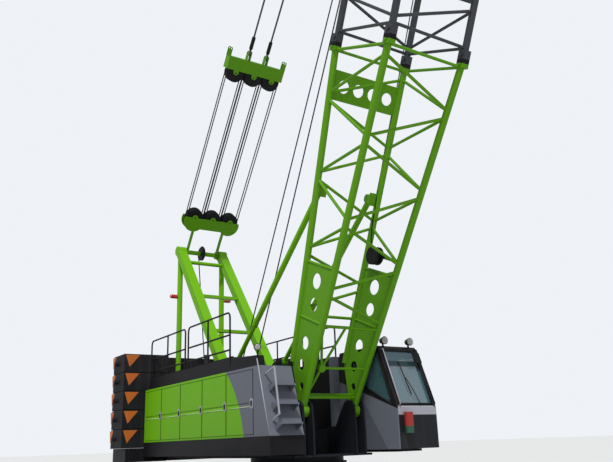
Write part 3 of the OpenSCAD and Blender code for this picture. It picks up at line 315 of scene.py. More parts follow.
@dataclass(frozen=True)
class Zone:
    """Part of a painted piece that has another colour.

    The zone is where (x, y, z) lies between ``low`` and ``high``, and a limit at FAR leaves that
    side open. With a ``slant``, the place's dot product with it is also more than ``reach``. With
    a ``centre``, the place is also further than ``radius`` from the line through it along Y.
    """

    colour: Triple
    low: Triple = (-FAR, -FAR, -FAR)
    high: Triple = (FAR, FAR, FAR)
    slant: Triple | None = None
    reach: float = 0.0
    centre: Triple | None = None
    radius: float = 0.0

    def mask(self, graph: Graph) -> Socket:
        """A socket that is 1 inside the zone and 0 outside: the product of its limits' tests."""
        place = graph.add("ShaderNodeTexCoord").outputs["Object"]
        parts = graph.add("ShaderNodeSeparateXYZ", {"Vector": place}).outputs
        tests: list[Socket] = []
        for low, high, letter in zip(self.low, self.high, "XYZ"):
            for limit, kind in ((low, "GREATER_THAN"), (high, "LESS_THAN")):
                if abs(limit) < FAR:
                    tests.append(graph.maths(kind, parts[letter], limit))
        if self.slant is not None:
            along = graph.maths("DOT_PRODUCT", place, self.slant, "Value")
            tests.append(graph.maths("GREATER_THAN", along, self.reach))
        if self.centre is not None:
            flat = graph.maths("MULTIPLY", place, (1.0, 0.0, 1.0), "Vector")
            gap = graph.maths("DISTANCE", flat, self.centre, "Value")
            tests.append(graph.maths("GREATER_THAN", gap, self.radius))
        result = tests[0]
        for test in tests[1:]:
            result = graph.maths("MULTIPLY", result, test)
        return result


@dataclass(frozen=True)
class Finish:
    """What a piece is painted with or made of."""

    name: str
    colour: Triple

    def surface(self, graph: Graph) -> dict[str, Feed]:
        """What feeds the shader's inputs, by their names."""
        return {"Base Color": (*self.colour, 1.0)}

    def build(self) -> Material:
        """Makes the material, or finds it if it was made before."""
        if self.name in bpy.data.materials:
            return bpy.data.materials[self.name]
        material, shader = blank(self.name)
        material.diffuse_color = (*self.colour, 1.0)
        graph = Graph(material.node_tree)
        for name, value in self.surface(graph).items():
            graph.feed(shader.inputs[name], value)
        return material


@dataclass(frozen=True)
class Paint(Finish):
    """A painted, bare metal or soft finish with dust and run marks.

    Where the dust lies, the finish is rougher by ``dulling`` and has the colour ``grime``. The
    bump's depth is ``grain`` in metres at a strength of ``bump``.
    """

    grime: Triple = (0.30, 0.27, 0.21)
    roughness: float = 0.42
    dulling: float = 0.35
    metallic: float = 0.0
    coat: float = 0.10
    specular: float = 0.4
    streak: float = 0.12
    dust: float = 0.10
    bump: float = 0.04
    grain: float = 0.01
    zones: tuple[Zone, ...] = ()

    def surface(self, graph: Graph) -> dict[str, Feed]:
        """The zones' colours over the paint's own, with grime over them all."""
        amounts = {"Streak": self.streak, "Dust": self.dust}
        grime = graph.add("ShaderNodeGroup", amounts, node_tree=Grime.group()).outputs
        colour: Feed = (*self.colour, 1.0)
        for zone in self.zones:
            colour = graph.mix(zone.mask(graph), colour, (*zone.colour, 1.0))
        limits = {"To Min": self.roughness, "To Max": min(1.0, self.roughness + self.dulling)}
        rough = graph.add("ShaderNodeMapRange", {"Value": grime["Mask"], **limits})
        depth = {"Strength": self.bump, "Distance": self.grain, "Height": grime["Height"]}
        return {
            "Metallic": self.metallic,
            "Coat Weight": self.coat,
            "Specular IOR Level": self.specular,
            "Base Color": graph.mix(grime["Mask"], colour, (*self.grime, 1.0)),
            "Roughness": rough.outputs["Result"],
            "Normal": graph.add("ShaderNodeBump", depth).outputs["Normal"],
        }


@dataclass(frozen=True)
class Glazing(Finish):
    """Clear or coloured glass."""

    roughness: float = 0.03
    alpha: float = 0.35
    ior: float = 1.5

    def surface(self, graph: Graph) -> dict[str, Feed]:
        """Smooth, partly clear and coated."""
        return {"Base Color": (*self.colour, 1.0), "Roughness": self.roughness,
                "Alpha": self.alpha, "Coat Weight": 1.0, "IOR": self.ior}


LIME = (0.128, 0.365, 0.002)
# Painted shade: lime darkened to stand for the shade on the boom, spreaders and bridle.
SHADED_LIME = (0.092, 0.268, 0.004)
LIGHT_GREY = (0.30, 0.30, 0.34)
MID_GREY = (0.118, 0.127, 0.155)
# Painted shade: grey darkened for the cab side behind its fold.
SHADED_GREY = (0.080, 0.087, 0.108)
CHARCOAL = (0.009, 0.010, 0.014)
BLACK = (0.006, 0.006, 0.008)
ORANGE = (0.46, 0.105, 0.012)
LAMP_RED = (0.26, 0.008, 0.004)
LAMP_GREEN = (0.003, 0.055, 0.028)
DRY_DUST = (0.16, 0.145, 0.12)
DARK_DUST = (0.055, 0.050, 0.045)

DRY, DARK = {"grime": DRY_DUST, "coat": 0.0}, {"grime": DARK_DUST, "coat": 0.0}
CLEAN = {"coat": 0.0, "streak": 0.0}

BLACK_PAINT = Paint("black satin paint", BLACK, roughness=0.5, specular=0.14, **DARK)
CHARCOAL_PAINT = replace(BLACK_PAINT, name="charcoal paint", colour=CHARCOAL)
GREY_PAINT = Paint("mid grey paint", MID_GREY, grime=DRY_DUST, coat=0.02, specular=0.18,
                   streak=0.08, dust=0.06)
LIGHT_PAINT = replace(GREY_PAINT, name="light grey paint", colour=LIGHT_GREY, roughness=0.4,
                      specular=0.2, streak=0.06)
LIME_PAINT = Paint("lime paint", LIME, specular=0.12, streak=0.05, dust=0.04, **DRY)
# Painted shade: the boom's lime in the darkened colour above.
SHADED_BOOM_LIME = replace(LIME_PAINT, name="shaded lime paint", colour=SHADED_LIME)
BOOM_DARK = Paint("dark boom paint", (0.028, 0.031, 0.037), grime=DARK_DUST, roughness=0.45,
                  specular=0.35)
SLAB_PAINT = Paint("dark slab paint", (0.009, 0.009, 0.012), roughness=0.65, specular=0.14,
                   streak=0.25, dust=0.22, bump=0.12, **DARK)
ORANGE_PAINT = Paint("orange marking paint", ORANGE, grime=DARK_DUST, roughness=0.5, streak=0.15,
                     dust=0.12)
# Painted highlight: pale lime for the lit bevel below the doors' crease.
HIGHLIGHT_TRIM = Paint("painted highlight trim", (0.42, 0.56, 0.27), roughness=0.35, streak=0.05, dust=0.05, **DRY)
TRACK_STEEL = Paint("track steel", (0.020, 0.019, 0.018), grime=(0.13, 0.10, 0.07), roughness=0.6,
                    metallic=0.3, coat=0.0, specular=0.3, streak=0.2, dust=0.35, bump=0.2)
ROPE_STEEL = Paint("greased wire rope", (0.010, 0.010, 0.013), grime=(0.05, 0.05, 0.045),
                   roughness=0.6, coat=0.0, specular=0.3, streak=0.2, dust=0.2, bump=0.3)
PENDANT_STEEL = Paint("pendant steel", (0.045, 0.046, 0.050), roughness=0.5, **DARK)
CAST_STEEL = Paint("forged steel", (0.020, 0.019, 0.019), roughness=0.55, metallic=0.3, **DARK)
RUBBER = Paint("black rubber", (0.006, 0.006, 0.006), roughness=0.75, specular=0.25, **DARK)
SEAT_CLOTH = Paint("seat cloth", (0.012, 0.013, 0.016), roughness=0.9, dust=0.03, bump=0.5, **CLEAN)
MIRROR_FACE = Paint("mirror face", (0.85, 0.86, 0.88), roughness=0.04, metallic=1.0, dust=0.02,
                    **CLEAN)
SUN_BAND = Paint("sun band", (0.008, 0.030, 0.034), roughness=0.3, dust=0.03, **CLEAN)
WINDOW = Glazing("tinted window", (0.050, 0.110, 0.135), alpha=0.72)
RED_LENS = Glazing("red lens", (0.45, 0.008, 0.006), roughness=0.12, alpha=0.95)
CLEAR_LENS = Glazing("clear lens", (0.30, 0.29, 0.275), roughness=0.12, alpha=0.95)


# The yard: where things are, and how a piece is put there

def placed(name: str, data: bpy.types.ID) -> bpy.types.Object:
    """A new object in the scene that shows the data."""
    item = bpy.data.objects.new(name, data)
    bpy.context.scene.collection.objects.link(item)
    return item


class Yard:
    """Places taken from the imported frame, and the pieces' way onto it."""

    boom_angle = math.radians(66.0)

    def __init__(self) -> None:
        """Reads the joints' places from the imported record."""
        joint = {j["name"]: j for j in frame["record"]["behaviour"]["joints"]}
        place = {name: np.array(j["pos_m"]) for name, j in joint.items() if "pos_m" in j}
        along = joint["bridle_travel"]["axis"]
        self.swing_x = float(place["swing"][0])
        self.foot = place["luff"]
        self.gantry_top = place["spreader_swing"]
        self.stay_angle = math.atan2(along[2], along[0])
        self.head = place["head_sheave_spin"]
        self.swivel = place["hook_swivel"]
        self.drums = {name: place[f"{name}_drum_spin"] for name in ("front", "rear", "luff")}

    def at(self, x: float, y: float, z: float) -> Array:
        """A place measured from the swing centre, in the frame."""
        return np.array([x + self.swing_x, y, z])

    def on_boom(self, u: float, w: float, v: float) -> Array:
        """A place on the boom: u from foot to head, w to the left and v towards its upper side."""
        c, s = math.cos(self.boom_angle), math.sin(self.boom_angle)
        return self.foot + np.array([u * c - v * s, w, u * s + v * c])

    def on_stay(self, s: float, w: float, v: float) -> Array:
        """A place on the line from the gantry top to the boom head."""
        c, t = math.cos(self.stay_angle), math.sin(self.stay_angle)
        return self.gantry_top + np.array([s * c - v * t, w, s * t + v * c])

    @staticmethod
    def make(name: str, shells: list[Shell], finish: Finish, slot: str) -> bpy.types.Object:
        """Puts shells together as one object, with a finish.

        The object still has to ride on a body.
        """
        starts = np.cumsum([0] + [len(s.points) for s in shells])
        mesh = bpy.data.meshes.new(name)
        faces = [tuple(int(start + c) for c in face) for s, start in zip(shells, starts)
                 for face in s.faces]
        mesh.from_pydata(np.concatenate([s.points for s in shells]).tolist(), [], faces)
        mesh.polygons.foreach_set("use_smooth", [flag for s in shells for flag in s.smooth])
        mesh.materials.append(finish.build())
        mesh.update()
        piece = placed(name, mesh)
        return piece

    def fit(self, name: str, shells: list[Shell], finish: Finish, slot: str = "black",
            body: str = "upperworks") -> bpy.types.Object:
        """Makes a piece that rides on one body."""
        piece = self.make(name, shells, finish, slot)
        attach(piece, body)
        log.info("%s rides on %s", name, body)
        return piece

    def wind(self, name: str, shells: list[Shell], body: str) -> None:
        """Makes a rope that rides on one body."""
        self.fit(name, shells, ROPE_STEEL, "wire", body)

    def span(self, name: str, shells: list[Shell], bodies: tuple[str, str], start: Array,
             end: Array) -> None:
        """Makes a rope fixed where it lies, riding on no body."""
        piece = self.make(name, shells, ROPE_STEEL, "wire")
        tuple(start)
        tuple(end)
        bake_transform(piece)
        log.info("%s runs from %s to %s", name, *bodies)


# Paint on the solids

@dataclass
class Paintwork:
    """Paints the solids of the frame. Places along X are measured from the swing centre."""

    yard: Yard
    sweep_rear: float = -0.4
    sweep_centre: Pair = (-1.347, 1.374)
    sweep_r: float = 2.14
    cabinet_rear: float = -0.62
    cabinet_black: Pair = (0.2, 0.905)
    collar_start: float = 6.87
    reel: Triple = (3.06, 0.58, 0.275)
    reel_half: float = 0.19
    reel_sides: Pair = (0.495, 0.70)
    gantry_sheave: Triple = (0.3, 0.045, 0.3)
    step_edge: float = -1.470
    cab_front: float = 2.30
    cab_inner: float = 0.76
    band_low: float = 2.10
    band_top: float = 2.262
    fold: Triple = (-0.804, 0.0, -0.594)
    fold_place: Pair = (1.37, 2.403)
    brow: Triple = (0.347, 0.0, 1.0)
    brow_x: float = 2.25
    lamp_low: Triple = (2.381, 0.7, 1.6)
    lamp_high: Triple = (2.6, 1.2, 2.3)
    lamp_split: float = 1.894

    def housing(self) -> Paint:
        """Lime with a grey front behind a round edge."""
        x, (centre_x, centre_z) = self.yard.swing_x, self.sweep_centre
        front = Zone(MID_GREY, low=(x + self.sweep_rear, -FAR, -FAR),
                     centre=(x + centre_x, 0.0, centre_z), radius=self.sweep_r)
        return replace(LIME_PAINT, name="lime housing paint", zones=(front,))

    def cabinet(self) -> Paint:
        """Lime with a grey front part and a black inner wall."""
        x, (black_x, black_y) = self.yard.swing_x, self.cabinet_black
        zones = (Zone(MID_GREY, low=(x + self.cabinet_rear, -FAR, -FAR)),
                 Zone(BLACK, high=(x + black_x, black_y, FAR)))
        return replace(LIME_PAINT, name="lime and grey housing paint", zones=zones)

    def boom_base(self) -> Paint:
        """Darkened lime as painted shade, with a black collar at the upper end and a black cable
        reel.
        """
        yard, half = self.yard, self.reel_half
        way = (math.cos(yard.boom_angle), 0.0, math.sin(yard.boom_angle))
        reach = float(np.dot(yard.foot, way)) + self.collar_start
        reel, (inner, outer) = yard.on_boom(*self.reel), self.reel_sides
        zones = (Zone(BLACK, slant=way, reach=reach),
                 Zone(BLACK, low=(reel[0] - half, inner, reel[2] - half),
                      high=(reel[0] + half, outer, reel[2] + half)))
        return replace(SHADED_BOOM_LIME, name="shaded lime boom base paint", zones=zones)

    def gantry(self) -> Paint:
        """Lime with a black sheave at the top."""
        half, top = np.array(self.gantry_sheave), self.yard.gantry_top * [1.0, 0.0, 1.0]
        sheave = Zone(BLACK, low=tuple((top - half).tolist()), high=tuple((top + half).tolist()))
        return replace(LIME_PAINT, name="lime gantry paint", zones=(sheave,))

    def cab(self) -> Paint:
        """Grey with painted shade behind the fold, a black brow and front, and a light band across
        the front.
        """
        x, (fold_x, fold_z) = self.yard.swing_x, self.fold_place
        front = x + self.cab_front
        fold_reach = self.fold[0] * (x + fold_x) + self.fold[2] * fold_z
        brow_reach = self.brow[0] * (x + self.brow_x) + self.band_top
        return replace(GREY_PAINT, name="cab paint", zones=(
            # Painted shade: darker grey on the side behind the fold line.
            Zone(SHADED_GREY, slant=self.fold, reach=fold_reach),
            Zone(BLACK, slant=self.brow, reach=brow_reach),
            Zone(CHARCOAL, low=(front, self.cab_inner, -FAR)),
            Zone(LIGHT_GREY, low=(front, self.cab_inner, self.band_low)),
            Zone(BLACK, low=(front, -FAR, self.band_top)),
        ))

    def cab_lamps(self) -> Paint:
        """Black housings, with red over green on the faces of the stacked load lamps."""
        x, (x0, y0, z0), (x1, y1, z1) = self.yard.swing_x, self.lamp_low, self.lamp_high
        return Paint("cab lamp housings", BLACK, zones=(
            Zone(LAMP_RED, low=(x + x0, y0, self.lamp_split), high=(x + x1, y1, z1)),
            Zone(LAMP_GREEN, low=(x + x0, y0, z0), high=(x + x1, y1, self.lamp_split)),
        ))

    def finishes(self) -> dict[str, Finish]:
        """The finish of each solid, by its name."""
        right_doors = " ".join(f"right_door_{k}" for k in range(1, 6))
        # Painted light: the steps' outer edge is lighter grey where the light falls on it.
        lit_step_edge = Zone(LIGHT_GREY, high=(FAR, self.step_edge, FAR))
        solids: list[tuple[Finish, str]] = [
            (CHARCOAL_PAINT, "carbody crawler_frames bed engine front_drum rear_drum luff_drum"),
            (TRACK_STEEL, "track_left track_right track_wheels"),
            (BLACK_PAINT, "side_decks counterweight_tray walkways"),
            (BLACK_PAINT, "spreader_sheaves bridle_sheaves head_sheaves"),
            (SLAB_PAINT, "counterweight_slabs"),
            (self.housing(), f"right_housing {right_doors}"),
            (self.cabinet(), "left_housing"),
            (LIME_PAINT, "left_door_1 left_door_2 backstop_tubes backstop_rods hook_block"),
            (replace(GREY_PAINT, name="step paint with painted light", zones=(lit_step_edge,)), "front_steps"),
            (self.cab(), "cab_shell cab_door"),
            (WINDOW, "cab_glass"),
            (SEAT_CLOTH, "cab_interior"),
            (self.cab_lamps(), "cab_lamps"),
            (self.gantry(), "gantry"),
            # Painted shade: the spreader, bridle and boom top get the darkened lime.
            (SHADED_BOOM_LIME, "lower_spreader bridle boom_top"),
            (PENDANT_STEEL, "pendants"),
            (self.boom_base(), "boom_base"),
            (BOOM_DARK, "boom_insert_1 boom_insert_2"),
            (CAST_STEEL, "rope_becket hook"),
        ]
        return {name: finish for finish, names in solids for name in names.split()}

    def apply(self) -> None:
        """Gives every solid its finish."""
        for name, finish in self.finishes().items():
            mesh = frame["nodes"][name].data
            mesh.materials.clear()
            mesh.materials.append(finish.build())
        log.info("solids painted")


# Ropes

@dataclass
class Rigging:
    """The running ropes, with the sleeves on the pendants.

    Lengths along the stay are measured from the gantry's top.
    """

    yard: Yard
    rope_r: float = 0.015
    sheave_r: float = 0.222
    spreader_s: float = 1.06
    bridle_s: float = 5.09
    group_pitch: float = 0.52
    groove_pitch: float = 0.066
    gantry_groove_r: float = 0.19 + 0.013
    lead_off: float = 0.255
    sleeve_s: float = 5.66 + 0.10
    pendant_y: float = 0.248
    head_groove_r: float = 0.262
    hoist_y: float = 0.14
    block_up: float = 0.6
    fall_pitch: float = 0.09
    turn_pitch: float = 0.028
    drum_half: float = 0.41

    def build(self) -> None:
        """Makes every rope."""
        self.luffing_falls()
        self.luffing_lead()
        self.pendant_sleeves()
        self.hoist_lines()
        self.hook_falls()
        self.drum_turns()

    def rope(self, path: Array, lean: Axis = Axis.Y) -> Shell:
        """A length of rope along a path."""
        return tube(path, self.rope_r, lean=lean)

    def luffing_falls(self) -> None:
        """Straight falls between the two spreaders, with half turns round the sheaves."""
        yard, low, high = self.yard, self.spreader_s, self.bridle_s
        falls, low_turns, high_turns = [], [], []
        steps, half = np.linspace(low, high, 9), np.linspace(0, np.pi, 17)
        for group in (-1, 0, 1):
            y = group * self.group_pitch
            for v in (-self.groove_pitch, self.groove_pitch):
                for side in (-1, 1):
                    edge = y + side * self.sheave_r
                    falls.append(self.rope([yard.on_stay(s, edge, v) for s in steps]))
                for centre, way, turns in ((low, -1, low_turns), (high, 1, high_turns)):
                    bend = [yard.on_stay(centre + way * self.sheave_r * math.sin(t),
                                         y + self.sheave_r * math.cos(t), v) for t in half]
                    turns.append(self.rope(bend, Axis.X))
        ends = (yard.on_stay(s, 0, 0) for s in (low + 0.05, high - 0.05))
        yard.span("luffing_falls", falls, ("spreader", "bridle"), *ends)
        yard.wind("lower_rope_turns", low_turns, "spreader")
        yard.wind("upper_rope_turns", high_turns, "bridle")

    def luffing_lead(self) -> None:
        """The luffing rope from its drum over the gantry's sheave to the lower spreader."""
        drum, top, radius = self.yard.drums["luff"], self.yard.gantry_top, self.gantry_groove_r
        start = drum + np.array([-self.lead_off, 0.0, 0.0])
        climb = np.linspace(start, top + np.array([-radius, 0, 0]), 12)
        over = arc(top, radius, np.pi, 0.25 * np.pi, 14)
        self.yard.wind("luffing_lead", [self.rope(climb), self.rope(over)], "upperworks")

    def pendant_sleeves(self) -> None:
        """Black adjusting sleeves above the lower sockets of the pendants."""
        profile = [[0.034, 0.0], [0.048, 0.03], [0.048, 0.31], [0.034, 0.34]]
        on_stay = self.yard.on_stay
        way = on_stay(1.0, 0.0, 0.0) - on_stay(0.0, 0.0, 0.0)
        sleeves = [turned(profile, on_stay(self.sleeve_s, side * self.pendant_y, 0.0), way, 24)
                   for side in (-1, 1)]
        self.yard.fit("pendant_sleeves", sleeves, BLACK_PAINT, body="pendants")

    def hoist_lines(self) -> None:
        """Two hoist ropes from the drums to the boom head and over its sheaves.

        Each leaves its drum's turns ``rise`` metres from the drum's axis.
        """
        yard, head, radius = self.yard, self.yard.head, self.head_groove_r
        steps, crowding, bent, over_end = 60, 1.3, 30, -0.1
        for name, y, rise in (("front", -self.hoist_y, 0.29), ("rear", self.hoist_y, 0.31)):
            drum = yard.drums[name] + np.array([-0.6, y, 0.8]) * rise
            drum[1] = y
            way, groove = unit(head - drum), head + np.array([0, y, 0])
            back = np.array([-way[2], 0.0, way[0]])
            goal = groove + back * radius
            line = drum + np.outer(np.linspace(0, 1, steps) ** crowding, goal - drum)
            over_start = math.atan2(back[2], back[0])
            over = arc(groove, radius, over_start, over_end, 16)
            bodies = ("upperworks", "boom")
            yard.span(f"{name}_hoist_line", [self.rope(line)], bodies, line[0], line[bent])
            yard.wind(f"{name}_head_turn", [self.rope(over)], "boom")

    def hook_falls(self) -> None:
        """Falls from the head sheaves to the hook block's sheaves, with half turns round those.

        At the head they lie further apart, by ``spread``, than at the block.
        """
        yard = self.yard
        block = yard.swivel + np.array([0, 0, self.block_up])
        top = np.array([yard.head[0] + self.head_groove_r, 0.0, yard.head[2]])
        grooves = (-self.fall_pitch, 0.0, self.fall_pitch)
        falls = []
        for y in grooves:
            for side, spread in ((-1, 1.45), (1, 1.55)):
                low = block + np.array([side * self.sheave_r, y, 0])
                falls.append(self.rope(np.linspace(top + np.array([0, y * spread, 0]), low, 24)))
        yard.span("hook_falls", falls, ("rope_becket", "hook_block"), top + np.array([0, 0, -0.4]),
                  block + np.array([0, 0, 0.2]))
        turns = [self.rope(arc(block + np.array([0, y, 0]), self.sheave_r, 0.0, -np.pi, 17))
                 for y in grooves]
        yard.wind("block_rope_turns", turns, "hook_block")

    def drum_turns(self) -> None:
        """Rope wound on the drums: a profile of half rounds, one for each turn, carried round."""
        pitch, half, width = self.turn_pitch, 0.5 * self.turn_pitch, self.drum_half
        count = int(2 * width / pitch)
        bulge = np.linspace(0, np.pi, 6)[:-1]
        for name, radius in (("front", 0.262), ("rear", 0.282), ("luff", 0.222)):
            rows = [(radius, -width)]
            for turn in range(count):
                start = -width + turn * pitch
                rows += [(radius + half * math.sin(b), start + half * (1 - math.cos(b)))
                         for b in bulge]
            rows.append((radius, -width + count * pitch))
            shell = turned(rows, self.yard.drums[name], Axis.Y.value, 48)
            self.yard.wind(f"{name}_drum_rope", [shell], f"{name}_drum")


# The house and what is bolted to it

@dataclass
class House:
    """Door furniture with painted seam shade and highlight lines, gratings, markings and fittings
    of the turning house.
    """

    yard: Yard
    side_y: float = 1.6
    seams: tuple[float, ...] = (-4.540, -3.450, -2.300, -1.120, 0.020, 1.144)
    latch_z: float = 2.385
    latch_back: float = 0.075
    # The dark strip at each door's free end is painted shade: it widens the seam's shadow.
    seam_shade_width: float = 0.020
    seam_shade_inset: float = 0.01
    # Height of the pale line painted as the crease's highlight on the doors.
    highlight_line_z: float = 2.330
    deck_z: float = 3.331
    deck_rear: float = -4.44
    deck_outer: float = 1.53
    slab_low: float = 1.677
    slab_pitch: float = 0.457
    mark_skin: float = 0.003
    corner_foot: Pair = (1.733, 1.796)
    corner_lean: Pair = (0.389, 1.252)

    def build(self) -> None:
        """Makes the house's pieces."""
        self.doors()
        self.gratings()
        self.slab_markings()
        self.roof_fittings()
        self.front_corner()
        self.gantry_fittings()

    def doors(self) -> None:
        """Fits out every door. The latch plate's outline is one corner mirrored into all four."""
        corner = np.array([[0.062, 0.058], [0.042, 0.090]])
        shape = np.concatenate([corner, corner[::-1] * [-1, 1], -corner, corner[::-1] * [1, -1]])
        for side, ends in ((Side.RIGHT, self.seams[1:]), (Side.LEFT, self.seams[2:4])):
            for k, end in enumerate(ends, 1):
                self.door(f"{side.name.lower()}_door_{k}", side, end, shape)

    def door(self, body: str, side: Side, end: float, shape: Array) -> None:
        """A latch plate and handle at a door's free end, with painted seam shade there and a
        painted highlight line.

        ``end`` is the free end, measured from the swing centre, and ``shape`` is the plate's.
        """
        way, face = side.value, side.value * self.side_y
        inside = face - way * 0.010
        mid = self.yard.at(end - self.latch_back, 0.0, self.latch_z)[[0, 2]]
        plate = panel(shape + mid, inside, face + way * 0.004)
        handle = panel(shape * [0.45, 0.55] + mid, inside, face + way * 0.012)
        low, high = (np.array(corner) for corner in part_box(body))
        # Painted shade: a dark strip along the free end, standing in for the seam's shadow.
        seam_shade = box([high[0] - self.seam_shade_width, face - way * 0.002, low[2] + self.seam_shade_inset],
                   [high[0], face + way * 0.0015, high[2] - self.seam_shade_inset])
        # Painted highlight: a pale line below the crease, where its bevel catches the light.
        ends = [[low[0] + 0.03, face, self.highlight_line_z], [high[0] - 0.155, face, self.highlight_line_z]]
        self.yard.fit(f"{body}_latch_plate", [plate], LIGHT_PAINT, "trim", body)
        self.yard.fit(f"{body}_latch", [handle], BLACK_PAINT, "black", body)
        self.yard.fit(f"{body}_seal", [seam_shade], RUBBER, "black", body)
        self.yard.fit(f"{body}_bead", [tube(ends, 0.007, 10)], HIGHLIGHT_TRIM, "trim", body)

    def gratings(self) -> None:
        """Slatted treads on the two walkways: bars along the deck with cross bars between them."""
        slat_pitch, slat_half, slat_top = 0.045, 0.004, 3.352
        bar_pitch, bar_width, bar_top = 0.11, 0.008, 3.346
        at, rear, outer, floor = self.yard.at, self.deck_rear, self.deck_outer, self.deck_z
        for side, front, inner in ((Side.RIGHT, 0.06, 0.90), (Side.LEFT, -0.63, 0.905)):
            way, shells = side.value, []
            for y in np.arange(inner + 0.02, outer, slat_pitch):
                low, high = way * y - slat_half, way * y + slat_half
                shells.append(box(at(rear, low, floor), at(front, high, slat_top)))
            for x in np.arange(rear + 0.05, front, bar_pitch):
                low, high = at(x, way * inner, floor), at(x + bar_width, way * outer, bar_top)
                shells.append(box(low, high))
            self.yard.fit(f"{side.name.lower()}_grating", shells, BLACK_PAINT)

    def slab_markings(self) -> None:
        """Orange triangles at the outer corners of each slab, with their points down."""
        skin_t, wide, side_wide, tall, below = self.mark_skin, 0.36, 0.26, 0.30, 0.035
        edge_y, face_y, faces_x, rear_x = 2.125, 2.158, (-4.6, -5.56 - self.mark_skin), -5.525
        rear = self.yard.at(rear_x, 0, 0)[0]
        shells = []
        for i in range(5):
            top = self.slab_low + self.slab_pitch * (i + 1) - below
            for side in (-1, 1):
                edge, face = side * edge_y, side * face_y
                across = [[edge, top], [edge - side * wide, top], [edge - side * 0.10, top - tall]]
                for x in faces_x:
                    limits = (self.yard.at(x + t, 0, 0)[0] for t in (0.0, skin_t))
                    shells.append(panel(across, *limits, Axis.X))
                along = [[rear, top], [rear + side_wide, top], [rear + 0.05, top - tall]]
                shells.append(panel(along, face, face + side * skin_t))
        self.yard.fit("slab_markings", shells, ORANGE_PAINT)

    def roof_fittings(self) -> None:
        """Lifting eyes and an exhaust stack on the roofs."""
        roof, half_wide, tall, both = 3.052, 0.045, 0.055, (-0.98, 0.98)
        eyes = []
        for x, rows in ((-4.35, both), (-2.9, both), (-1.6, both), (-0.3, both[:1])):
            for y in rows:
                bend = [self.yard.at(x, y + half_wide * math.cos(t), roof + tall * math.sin(t))
                        for t in np.linspace(0, np.pi, 12)]
                eyes.append(tube(bend, 0.010, lean=Axis.X))
        self.yard.fit("roof_lifting_eyes", eyes, BLACK_PAINT)
        profile = [[0.085, 0.0], [0.085, 0.42], [0.06, 0.44], [0.06, 0.62], [0.05, 0.62],
                   [0.05, 0.45]]
        stack = turned(profile, self.yard.at(-2.17, -1.02, 3.045), Axis.Z.value)
        self.yard.fit("exhaust_stack", [stack], BLACK_PAINT)

    def front_corner(self) -> None:
        """A light grey bar on the right housing's slanted front corner, as a painted highlight on
        the rounded edge, and the work lamp on its hood.

        The corner is the line x = foot x - run (z - foot z) / rise.
        """
        yard, (foot_x, foot_z), (run, rise) = self.yard, self.corner_foot, self.corner_lean
        proud, ends = 0.004, (1.80, 3.17)
        # Painted highlight: a light grey bar along the corner's rounded edge.
        corner = [yard.at(foot_x - run * (z - foot_z) / rise + proud, -self.side_y - proud, z)
                  for z in ends]
        yard.fit("front_corner_highlight", [tube(corner, 0.011)], LIGHT_PAINT, "trim")
        post_x, lamp_y, foot, top = 1.18, -1.52, 3.20, 3.40
        back, ahead = yard.at(1.14, lamp_y, top), [1.0, -0.25, -0.1]
        post = tube([yard.at(post_x, lamp_y, foot), yard.at(post_x, lamp_y, top)], 0.012)
        pot = turned([[0.030, -0.01], [0.062, 0.03], [0.068, 0.09]], back, ahead, 24)
        lens = turned([[0.062, 0.088], [0.050, 0.100], [0.02, 0.106]], back, ahead, 24)
        yard.fit("hood_lamp", [post, pot], BLACK_PAINT)
        yard.fit("hood_lamp_lens", [lens], CLEAR_LENS, "window")

    def gantry_fittings(self) -> None:
        """A lamp cable down the right leg of the gantry and lens caps on its lamps."""
        run = [(-4.855, -0.66, 5.50), (-4.90, -0.64, 5.30), (-4.935, -0.62, 4.9),
               (-4.94, -0.60, 4.0), (-4.935, -0.60, 3.0)]
        cable = tube([self.yard.at(*place) for place in run], 0.010)
        self.yard.fit("gantry_cable", [cable], RUBBER)
        profile = [[0.052, 0.0], [0.056, 0.01], [0.056, 0.15], [0.05, 0.185], [0.03, 0.20]]
        lenses = [turned(profile, self.yard.at(-4.855, side * 0.70, 5.56), [0, side, 0])
                  for side in (-1, 1)]
        self.yard.fit("gantry_lamp_lenses", lenses, RED_LENS)


# Cab

